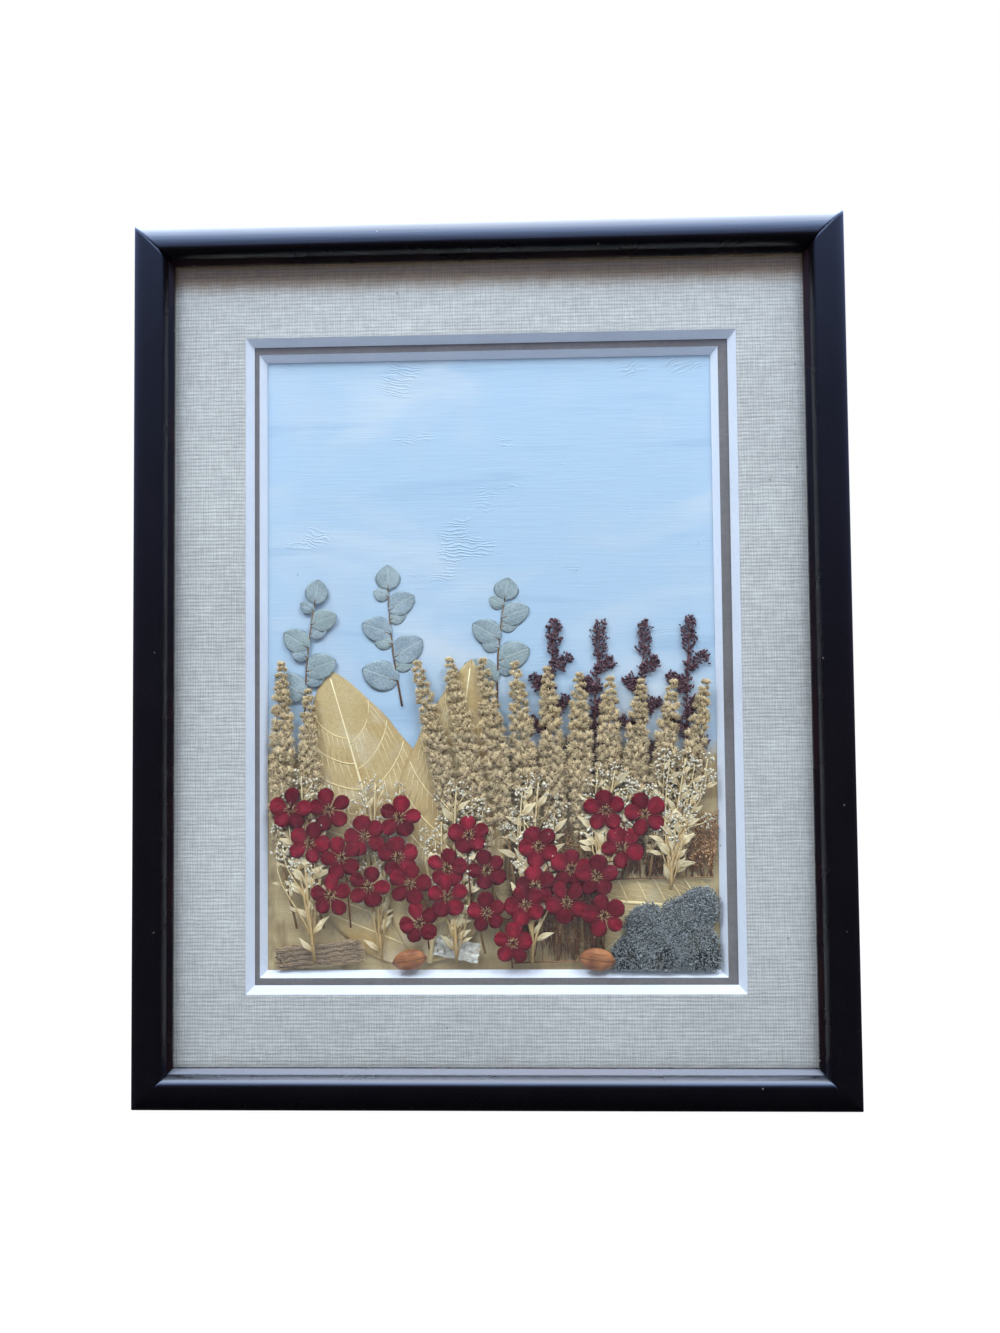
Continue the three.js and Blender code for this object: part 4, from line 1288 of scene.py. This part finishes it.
def growSpray(index, x):
    s = silverSpray
    rng = np.random.default_rng(s["seed"] + index)
    back, front = s["lowLayer"] if x == s["lowAt"] else s["layer"]
    middle, half = (back + front) / 2, (front - back) / 2
    foot = (x * 0.94, seedSpike["mossTop"] - 4 if x > seedSpike["mossLeft"] else 4)
    tip = (x + 3 * wobble(index, 6), 96 + 14 * wobble(index, 7))
    at, _, angle = growLine(foot, tip, 1.2)
    bundle = newBundle()
    addTube(bundle, at(np.linspace(0, 0.95, 12), 0, middle), np.linspace(0.7, 0.3, 12), 0.5, 6, 0.6, 1)

    def addCluster(centre, radius, count):
        addBudCluster(bundle, rng, centre[:2], radius, count, middle, half)

    def addFork(along, side, reach, rise, count, size):
        root, end = at(along, 0, middle), at(along + rise, side * reach, middle)
        bend = at(along + rise * 0.7, side * reach * 0.42, middle)
        addTube(bundle, [root, bend, end], (0.34, 0.26, 0.2), rng.uniform(0, 1), 5, 0.6, 1)
        addCluster(end, size, count)

    def addLeaf(root, turn, span):
        width = span * s["leafShare"] * rng.uniform(0.8, 1.4)
        frame = flatFrame(turn, width * rng.choice((-1.0, 1.0)), span, rng.uniform(0.4, 0.9))
        addCopy(bundle, narrowShape, (root[0], root[1], middle - 0.2), frame, rng.uniform(0, 1), 2)

    buds = s["clusterBuds"]
    for i in range(s["forks"]):
        along = 0.32 + 0.5 * i / s["forks"]
        side = 1 if i % 2 else -1
        reach = s["spread"] * (0.9 - 0.4 * along + 0.1 * wobble(i, index))
        addFork(along, side, reach, 0.2, buds, 3.3)
        addFork(along + 0.05, -side, reach * 0.62, 0.17, buds // 2, 2.5)
        addFork(along + 0.1, side, reach * 0.45, 0.16, buds // 2, 2.3)
    for k in range(s["leaves"]):
        along = 0.05 + 0.085 * k + rng.normal(0, 0.01)
        lean = (1 if k % 2 else -1) * rng.uniform(0.5, 1.0)
        addLeaf(at(along), angle - lean, rng.uniform(*s["leafLength"]))

    # more stems fan out from low on the main one, each with leaves and small clusters
    for k in range(s["sideStems"]):
        side = 1 if k % 2 else -1
        low, top = rng.uniform(0.0, 0.3), rng.uniform(0.5, 0.98)
        reach = side * rng.uniform(0.2, 0.82) * s["spread"]
        u = np.linspace(0, 1, 7)
        across = reach * np.sin(u * math.pi / 2) ** 1.2 + rng.normal(0, 0.6) * np.sin(u * 6)
        points = at(low + (top - low) * u, across, middle + rng.uniform(-0.12, 0.12))
        addTube(bundle, points, np.linspace(0.48, 0.2, 7), rng.uniform(0, 1), 5, 0.6, 1)
        addCluster(points[-1], 2.6, buds // 2 + 3)
        for j in range(1, 6):
            heading = math.atan2(*(points[j] - points[j - 1])[:2])
            lean = (1 if j % 2 else -1) * rng.uniform(0.4, 1.1)
            span = rng.uniform(*s["leafLength"]) * (0.9 if abs(reach) < 8 else 0.6)
            addLeaf(points[j], -heading - lean, span)
            if j > 2 and abs(points[j][0] - at(0.5)[0]) < 10:
                aside = np.array((math.sin(heading + lean), math.cos(heading + lean), 0.0))
                aside *= -rng.uniform(2.5, 4.0)
                aside[1] = abs(aside[1]) + 1.0
                addTube(bundle, [points[j], points[j] + aside], (0.2, 0.14), 0.5, 4, 0.8, 1)
                addCluster(points[j] + aside, 1.7, buds // 2)
    addCluster(at(0.95), 3.8, buds + 4)
    return bundle


woolBud = makePlantMaterial("woollyBud", "#a8987c", "#eae1cf", "#8f7a5c", turn=0.4, mottle=800.0, spots=0.35,
                            rough=0.95, sheen=0.2)
creamStem = makePlantMaterial("creamStem", "#c4a270", "#e3cda0", "#85643c", mottle=350.0, spots=0.45,
                              spread=0.4)
silverLeaf = makePlantMaterial("silverLeaf", "#b39361", "#e0cba3", "#8c6c44", turn=0.35, spots=0.4,
                               vein={"count": 5.0, "strength": 0.35, "colour": "#f1e8d3"})
plantAll(growSpray, zip(silverSpray["across"]), "silverSpray", "silver_spray",
         [woolBud, creamStem, silverLeaf])
report("silvery sprays")


# heads of dark red florets

floret = {
    "heads": [(-77, 64), (-61, 39), (-44, 57), (-28, 30), (-10, 48), (7, 22), (24, 44), (41, 31), (56, 62)],
    "radius": 9.3, "offset": 9.6, "layers": (14.25, 15.1), "stamens": 12, "grains": 16,
    "petalWidth": 7.7, "within": (13.95, 15.82), "seed": 200,
}


def petalOutline(across, along):
    # narrow claw, round blade and a faint notch at its end
    claw = 0.1 + 0.9 * math.sin(math.pi / 2 * min(1.0, along / 0.66)) ** 1.9
    crown = math.sqrt(max(0.0, 1 - max(0.0, (along - 0.66) / 0.37) ** 2))
    half = 0.5 * claw * crown
    reach = along * (1 - 0.04 * abs(across) ** 3) - 0.03 * along ** 6 * math.exp(-(across / 0.3) ** 2)
    lift = 0.06 * math.sin(math.pi * along) - 0.05 * math.exp(-(across / 0.2) ** 2) * along
    lift += 0.05 * across * across * along * math.sin(4 * along + 1.3)
    lift += 0.02 * math.sin(6 * across + 5 * along)
    return Vector((across * half, reach, lift))


petalShape = shapeFrom(makeBlade(10, 8, petalOutline, 0.012))


def makePetalMaterial():
    # deep crimson, lighter and pinker in the middle, dark along the rim and at the claw
    material, tree, shader = newMaterial("crimsonPetal", Roughness=0.62, SheenWeight=0.03,
                                         SheenTint="#d98a9c", SpecularIORLevel=0.12)
    growth = attributePlace(tree)
    across, along, tint = split(growth)
    spread = abs(across)
    cloud = noise(objectPlace(tree), 240.0, 4.0, 0.6)
    lines = noise(growth, 1.0, 3.0, 0.65, stretch=(7.0, 1.1, 1.0))
    middle = spread.remap(0.15, 0.85, 1.0, 0.0, smooth=True) * along.remap(0.15, 0.55, smooth=True)
    colour = blend(middle * cloud.remap(0.32, 0.66), "#650c1b", "#981c33")
    colour = blend(lines.remap(0.5, 0.72, 0.0, 0.55), colour, "#430a14")
    rim = spread.remap(0.82, 1.0).larger(along.remap(0.92, 1.0))
    claw = along.remap(0.3, 0.05)
    colour = blend(rim.larger(claw) * 0.55, colour, "#3a0811")
    dress(shader, brighten(colour, tint.remap(0.0, 1.0, 0.6, 1.3)), lines + cloud, 0.00022)
    return material


def addFloret(bundle, rng, centre, radius, turn, base):
    for petal in range(5):
        angle = turn + petal * 2 * math.pi / 5 - math.pi / 2 + rng.normal(0, 0.07)
        size = radius * rng.uniform(0.9, 1.03)
        frame = flatFrame(angle, floret["petalWidth"] * rng.uniform(0.8, 1.06), size, 5.0)
        place = (*centre, base + 0.05 * (petal % 2) + 0.03 * petal)
        addCopy(bundle, petalShape, place, frame, rng.uniform(0, 1), 0)
    # the eye: a low cushion of small grains, ringed by stamens
    grains = floret["grains"]
    around = rng.uniform(0, 2 * math.pi, grains)
    outward = np.stack([np.cos(around), np.sin(around), np.zeros(grains)], 1)
    out = 1.3 * np.sqrt(rng.uniform(0, 1, grains))
    places = np.array((*centre, base + 0.28)) + outward * out[:, None]
    sizes = np.full((3, grains), 0.75) * np.array([[1], [1], [0.5]])
    addAimed(bundle, rng, budShape, places, outward, around, sizes, paint=1)
    for k in range(floret["stamens"]):
        angle = turn + k * 2 * math.pi / floret["stamens"] + rng.normal(0, 0.12)
        reach = rng.uniform(1.0, 2.1)
        heading = np.array((math.cos(angle), math.sin(angle), 0.0))
        start = np.array((*centre, base + 0.32)) + heading * 0.5
        end = start + heading * reach + (0, 0, 0.06)
        addTube(bundle, [start, end], (0.09, 0.07), 0.5, 3, 1.0, 1)
        addCopy(bundle, budShape, end, flatFrame(angle - math.pi / 2, 0.42, 0.55, 0.35), rng.uniform(0, 1), 2)


def growHead(index, x, y):
    rng = np.random.default_rng(floret["seed"] + index)
    turn = 0.5 + 1.3 * index
    base = floret["layers"][index % 2]
    bundle = newBundle()
    for i in range(3):
        angle = turn + i * 2 * math.pi / 3
        centre = (x + floret["offset"] * math.cos(angle), y + floret["offset"] * math.sin(angle))
        radius = floret["radius"] + 0.4 * wobble(i, turn)
        addFloret(bundle, rng, centre, radius, turn + i, base + 0.12 * i)
        addTube(bundle, [(x, y, base), (*centre, base + 0.1)], (0.3, 0.2), 0.4, 5, 0.5, 3)
    stalk = [(x, y, base), (x + 0.6, y - 9, base), (x + 1.5, y - 20, base)]
    addTube(bundle, stalk, (0.3, 0.35, 0.4), 0.4, 5, 0.5, 3)
    return bundle


petal = makePetalMaterial()
eyeGrain = makePlantMaterial("creamEye", "#6e4a30", "#cdb083", "#4a2a1c", mottle=900.0, spots=0.4, spread=0.8)
anther = makePlantMaterial("anther", "#a98c5c", "#d8c391", "#6b4a2c", mottle=900.0, spread=0.6)
redStem = makePlantMaterial("redBrownStem", "#5b2f26", "#7d4a38", "#33180f", mottle=500.0)
plantAll(growHead, floret["heads"], "redFloretHead", "red_floret_head",
         [petal, eyeGrain, anther, redStem], floret["within"])
report("red floret heads")


# russet undergrowth

undergrowth = {
    "left": {"left": 9, "right": 48, "bottom": 3, "top": 58},
    "right": {"left": 50, "right": 94, "bottom": 38, "top": 66},
    "layer": (9.9, 10.6), "mostRight": 95.0, "twigsPerMm": 4.4, "grains": 17,
    "within": (9.72, 10.8), "seed": 300,
}


def growUndergrowth(index, place):
    u = undergrowth
    rng = np.random.default_rng(u["seed"] + index)
    middle = sum(u["layer"]) / 2
    left, right, bottom, top = (place[k] for k in ("left", "right", "bottom", "top"))
    width, height = right - left, top - bottom
    bundle = newBundle()
    addTube(bundle, [(left, bottom, middle), (right, bottom + 1, middle)], 0.35, 0.3, 5, 0.8, 1)
    for k in range(int(width * u["twigsPerMm"])):
        x = left + rng.uniform(0, 1) * width
        reach = height * rng.uniform(0.25, 1.0) ** 0.8
        lean = rng.normal(0, 0.12) * reach
        start = bottom + rng.uniform(0, 0.25) * height
        end = (min(max(x + lean, left - 1.5), min(right + 1.5, u["mostRight"])), min(start + reach, top))
        at, length, _ = growLine((x, start), end, rng.normal(0, 0.8))
        deep = middle + rng.uniform(-0.22, 0.22)
        twig = at(np.linspace(0, 1, 5), 0, deep)
        addTube(bundle, twig, np.linspace(0.24, 0.1, 5), rng.uniform(0, 1), 3, 0.8, 1)
        count = int(u["grains"] * length / 25) + 3
        t = rng.uniform(0.2, 1.03, count)
        side = rng.normal(0, 1.1, count)
        places = at(t, side, deep + rng.uniform(-0.1, 0.15, count))
        directions = np.stack([side * 0.6, np.ones(count), np.zeros(count)], 1)
        directions += rng.normal(0, 0.25, (count, 3))
        long = rng.uniform(0.8, 1.8, count)
        addAimed(bundle, rng, bractShape, places, directions, t, (long * 0.55, long, np.full(count, 0.5)))
    return bundle


russetGrain = makePlantMaterial("russetGrain", "#744a32", "#c39a72", "#55321f", turn=0.4, mottle=380.0,
                                spots=0.4, spread=0.9)
russetTwig = makePlantMaterial("russetTwig", "#80543a", "#b08660", "#4d2f1e", mottle=420.0, spots=0.4,
                               spread=0.6)
for i, side in enumerate(("left", "right")):
    buildPlant(growUndergrowth(i, undergrowth[side]), f"undergrowth{side.capitalize()}",
               [f"undergrowth_{side}"], [russetGrain, russetTwig], undergrowth["within"])
report("undergrowth")


# moss cushion

moss = {
    "lumps": [(87, 7, 11), (73, 8, 12), (59, 6, 9), (81, 19, 12), (66, 18, 10), (88, 26, 9)],
    "layer": (9.9, 14.0), "left": 50.5, "right": 95.6, "foot": 0.4, "fronds": 9500,
    "within": (9.75, 14.2), "seed": 410,
}


def growMoss():
    m = moss
    rng = np.random.default_rng(m["seed"])
    back, front = m["layer"]
    count = m["fronds"]
    lumps = np.array(m["lumps"], float)
    area = lumps[:, 2] ** 2
    centreX, centreY, radius = lumps[rng.choice(len(lumps), count, p=area / area.sum())].T
    turn = rng.uniform(0, 2 * math.pi, count)
    out = radius * np.sqrt(rng.uniform(0, 1, count))
    x, y = centreX + out * np.cos(turn), centreY + out * np.sin(turn)
    dome = np.zeros(count)
    for lumpX, lumpY, radius in lumps:
        inside = 1 - ((x - lumpX) ** 2 + (y - lumpY) ** 2) / radius ** 2
        dome = np.maximum(dome, np.sqrt(np.maximum(inside, 0)))
    clump = 0.5 + 0.5 * np.sin(x * 1.9 + 2 * np.sin(y * 1.3)) * np.sin(y * 2.1 + 1.7 * np.sin(x * 0.9))
    z = back + (front - back) * dome ** 0.6 * (0.55 + 0.33 * clump) * rng.uniform(0.8, 1.0, count)
    keep = (x < m["right"]) & (y > m["foot"]) & (x > m["left"])
    places = np.stack([x, y, z], 1)[keep]
    directions = np.stack([np.cos(turn), np.sin(turn), rng.uniform(0.2, 1.6, count)], 1)[keep]
    directions += rng.normal(0, 0.5, (len(directions), 3))
    long = rng.uniform(0.8, 1.7, len(places))
    tints = np.clip(0.25 + 0.75 * clump[keep] + rng.normal(0, 0.2, len(places)), 0, 1)
    bundle = newBundle()
    addAimed(bundle, rng, bractShape, places, directions, turn[keep], (long * 0.42, long, long * 0.42), tints)
    return bundle


def makeMossBed():
    # the low mound under the fronds
    m = moss
    back, front = m["layer"]
    parts = []
    for x, y, radius in m["lumps"]:
        deselectAll()
        bpy.ops.mesh.primitive_ico_sphere_add(subdivisions=4, radius=1, location=(x, y, back))
        bpy.context.object.scale = (radius * 0.94, radius * 0.94, (front - back) * 0.6)
        parts.append(settle())
    activate(parts[0])
    for lump in parts:
        lump.select_set(True)
    bpy.ops.object.join()
    bed = bpy.context.object
    for vertex in bed.data.vertices:
        x, y, z = vertex.co
        vertex.co = (min(x, m["right"] - 0.3), max(y, m["foot"]), max(z, back))
    return shapeFrom(bed)


# painted shade: the fronds' near-black root colour stands for the shade in the gaps of the cushion
mossFrond = makePlantMaterial("greyMossFrond", "#36393c", "#a3a8aa", "#6d6350", mottle=180.0, spots=0.35,
                              spread=0.9, rough=0.95)
cushion = growMoss()
addCopy(cushion, makeMossBed(), (0, 0, 0), np.eye(3), 0.1)
buildPlant(cushion, "mossCushion", ["moss_cushion"], [mossFrond], moss["within"])
report("moss")


# fallen bits at the foot: a bark strip, a white flake and two pods

fallen = {
    "bark": {"at": (-74, 7), "length": 38, "width": 10, "turn": 0.1, "layer": (9.95, 11.7), "fibres": 260,
             "seed": 510},
    "flake": {"at": (-15, 9), "length": 20, "width": 9, "turn": -0.2, "layer": (10.9, 11.8)},
    "pods": [((44, 5), 16, 9.5, 1.45), ((-35, 5), 15, 8.5, 1.75)],  # place, length, width, turn
    "podLayer": (10.9, 15.4),
}


def ragged(value, salt):
    waves = ((1.0, 3.1, 1), (0.6, 7.3, 2), (0.4, 17.9, 3))
    return sum(size * math.sin(value * pace + turn * salt) for size, pace, turn in waves) / 2


def laySheet(spec, rows, columns, outline, thickness):
    # a sheet whose growth runs along its length
    sheet = shapeFrom(makeBlade(rows, columns, outline, thickness))
    across, along = sheet["growth"].T
    sheet["growth"] = np.stack([along * 2 - 1, (across + 1) / 2], 1)
    bundle = newBundle()
    addCopy(bundle, sheet, (*spec["at"], 0), flatFrame(spec["turn"], 1, 1), 0.5)
    return bundle


def growBark():
    spec = fallen["bark"]
    rng = np.random.default_rng(spec["seed"])
    length, width = spec["length"], spec["width"]
    back, front = spec["layer"]
    rise = front - back

    def outline(across, along):
        # rows run along the strip, its ends are torn and its edges uneven
        torn = 1.4 * ragged(across * 7, 1.3 if along < 0.5 else 4.1)
        x = (along - 0.5) * (length - 2.6) + torn * abs(2 * along - 1) ** 3
        y = across * (width / 2 - 0.8) + 0.6 * ragged(along * 9, 2.0 + across)
        drift = across * 3 + 0.35 * ragged(along * 4, 0.9) + 0.15 * ragged(along * 11, across)
        ridge = 0.45 * abs(math.sin(drift * 2.1)) + 0.3 * abs(math.sin(drift * 6.3 + 1.0))
        ridge += 0.25 * abs(math.sin(drift * 14.7))
        crumple = ragged(along * 12 + across * 3, 1.1) * ragged(across * 6 - along * 7, 0.4)
        return Vector((x, y, back + 0.3 + rise * min(max(0.7 * ridge + 0.2 * crumple, 0.0), 0.75)))

    bundle = laySheet(spec, 120, 36, outline, 0.5)
    turn = np.array(flatFrame(spec["turn"], 1, 1))
    u = np.linspace(0, 1, 5)
    for k in range(spec["fibres"]):
        x, y = rng.uniform(-0.52, 0.45) * length, rng.uniform(-0.5, 0.5) * width
        xs = np.minimum(x + rng.uniform(3, 10) * u, length / 2 + 0.6)
        ys = y + rng.normal(0, 0.5) * u + rng.normal(0, 0.2) * np.sin(u * 7)
        zs = back + rise * (0.75 + 0.18 * np.sin(u * math.pi)) + rng.uniform(-0.2, 0.1)
        points = np.stack([xs, ys, zs], 1) @ turn.T + (*spec["at"], 0)
        addTube(bundle, points, np.linspace(0.13, 0.05, 5), rng.uniform(0, 1), 4, 0.8, 1)
    return bundle


def growFlake():
    spec = fallen["flake"]

    def outline(across, along):
        # papery sheet with crumpled ridges and a torn rim
        torn = 0.5 * ragged(across * 3, 0.7 if along < 0.5 else 2.9) * abs(2 * along - 1) ** 3
        y = across * (spec["width"] / 2 - 0.3) + 0.35 * ragged(along * 7, 5.0) * abs(across)
        fold = abs(math.sin(across * 4.2 + 0.6 * math.sin(along * 9)))
        crumple = 0.5 + 0.25 * math.sin(along * 21 + across * 4) * math.sin(along * 8 - across * 9)
        lift = 0.22 + 0.55 * fold * crumple + 0.12 * abs(across) ** 3
        return Vector(((along - 0.5) * (spec["length"] - 1) + torn, y, spec["layer"][0] + lift))

    return laySheet(spec, 80, 36, outline, 0.16)


def makePod(place, length, width, turn):
    back, front = fallen["podLayer"]
    deselectAll()
    bpy.ops.mesh.primitive_uv_sphere_add(segments=32, ring_count=20, radius=0.5, rotation=(math.pi / 2, 0, 0))
    pod = settle()
    pick(pod, "FACE", lambda face: True)
    bpy.ops.transform.resize(value=(width, length * 0.94, front - back - 0.2))
    setMode("OBJECT")
    for end in (-1, 1):
        # each end is drawn out to a blunt point
        pickFaces(pod, lambda middle, normal: middle.y * end > length * 0.42)
        bpy.ops.transform.resize(value=(0.62, 1.0, 0.62), center_override=(0, 0, 0))
        bpy.ops.transform.translate(value=(0, end * length * 0.025, 0))
        setMode("OBJECT")

    def between(a, b, axis, share):
        # an edge in the middle plane across this axis, within this share of the length
        return max(abs(a[axis]), abs(b[axis])) < 0.02 and max(abs(a.y), abs(b.y)) < length * share

    # a sunk seam along the front and a slight keel round the sides
    pickEdges(pod, lambda a, b: between(a, b, 0, 0.44) and min(a.z, b.z) > 0)
    bpy.ops.transform.translate(value=(0, 0, -0.22))
    setMode("OBJECT")
    pickEdges(pod, lambda a, b: between(a, b, 2, 0.46))
    bpy.ops.transform.resize(value=(1.03, 1.0, 1.0), center_override=(0, 0, 0))
    setMode("OBJECT")
    applyModifier(pod, "SUBSURF", levels=1, render_levels=1)
    middle = np.array((*place, (back + front) / 2))
    bundle = newBundle()
    addCopy(bundle, shapeFrom(pod), middle, flatFrame(turn, 1, 1), 0.5)
    tip = np.array((-math.sin(turn), math.cos(turn), 0.0)) * length
    addTube(bundle, [middle + tip * 0.45, middle + tip * 0.5], (0.5, 0.32), 0.2, 8, 0.8, 1)
    return bundle


def makeBarkMaterial():
    # soft fibrous bark: grey-brown, rosier in the hollows, with pale frayed fibres
    material, tree, shader = newMaterial("fibrousBark", Roughness=0.92)
    fibres = noise(attributePlace(tree), 1.0, 6.0, 0.7, 0.4, stretch=(34.0, 5.0, 1.0))
    patch = noise(objectPlace(tree), 120.0, 4.0, 0.6)
    colour = blend(fibres.remap(0.35, 0.68), "#7d654f", "#c3ab90")
    colour = blend(patch.remap(0.48, 0.66, 0.0, 0.7), colour, "#98836f")
    colour = blend(fibres.remap(0.3, 0.42, 0.75, 0.0), colour, "#54392a")
    dress(shader, colour, fibres + patch * 0.6, 0.0005)
    return material


def makeFlakeMaterial():
    # chalky white bark with dark breathing marks across it
    material, tree, shader = newMaterial("whiteBarkFlake", Roughness=0.82)
    place = objectPlace(tree)
    crinkle = noise(place, 420.0, 4.0, 0.65, 0.6)
    colour = blend(crinkle.remap(0.38, 0.62), "#b3aca0", "#e6e1d8")
    colour = blend(noise(place, 90.0, 4.0, 0.6).remap(0.52, 0.7, 0.0, 0.55), colour, "#b59a77")
    marks = noise(attributePlace(tree), 1.0, 2.0, 0.5, stretch=(2.0, 26.0, 1.0)).remap(0.64, 0.7)
    colour = blend(marks * 0.8, colour, "#5c4a3c")
    dress(shader, colour, crinkle - marks * 0.6, 0.00035)
    return material


def makePodMaterial():
    # smooth leathery skin: orange-brown, darker at the ends and the seam, finely wrinkled
    material, tree, shader = newMaterial("leatheryPod", Roughness=0.45, CoatWeight=0.15, CoatRoughness=0.3)
    growth = attributePlace(tree)
    across, along, _ = split(growth)
    wrinkle = noise(growth, 1.0, 5.0, 0.6, 0.4, stretch=(9.0, 3.0, 1.0))
    patch = noise(objectPlace(tree), 140.0, 4.0, 0.6)
    colour = blend(patch.remap(0.36, 0.66), "#7e4526", "#b9784a")
    seam = abs(across).remap(0.02, 0.09, 0.7, 0.0)
    ends = abs(along - 0.5).remap(0.36, 0.5, 0.0, 0.8)
    dark = seam.larger(ends).larger(wrinkle.remap(0.34, 0.44, 0.55, 0.0))
    colour = blend(dark, colour, "#492411")
    colour = blend(wrinkle.remap(0.62, 0.76, 0.0, 0.5), colour, "#d29a6c")
    dress(shader, colour, wrinkle + patch * 0.5, 0.0002)
    return material


barkSkin = makeBarkMaterial()
barkFibre = makePlantMaterial("paleBarkFibre", "#a98a6c", "#cdb498", "#6e5038", mottle=400.0, spots=0.4)
flakeSkin = makeFlakeMaterial()
buildPlant(growBark(), "barkStrip", ["bark_strip"], [barkSkin, barkFibre])
buildPlant(growFlake(), "birchFlake", ["birch_flake"], [flakeSkin])
plantAll(lambda i, *pod: makePod(*pod), fallen["pods"], "seedPod", "seed_pod",
         [makePodMaterial(), brownStem])
report("bark, flake and pods")
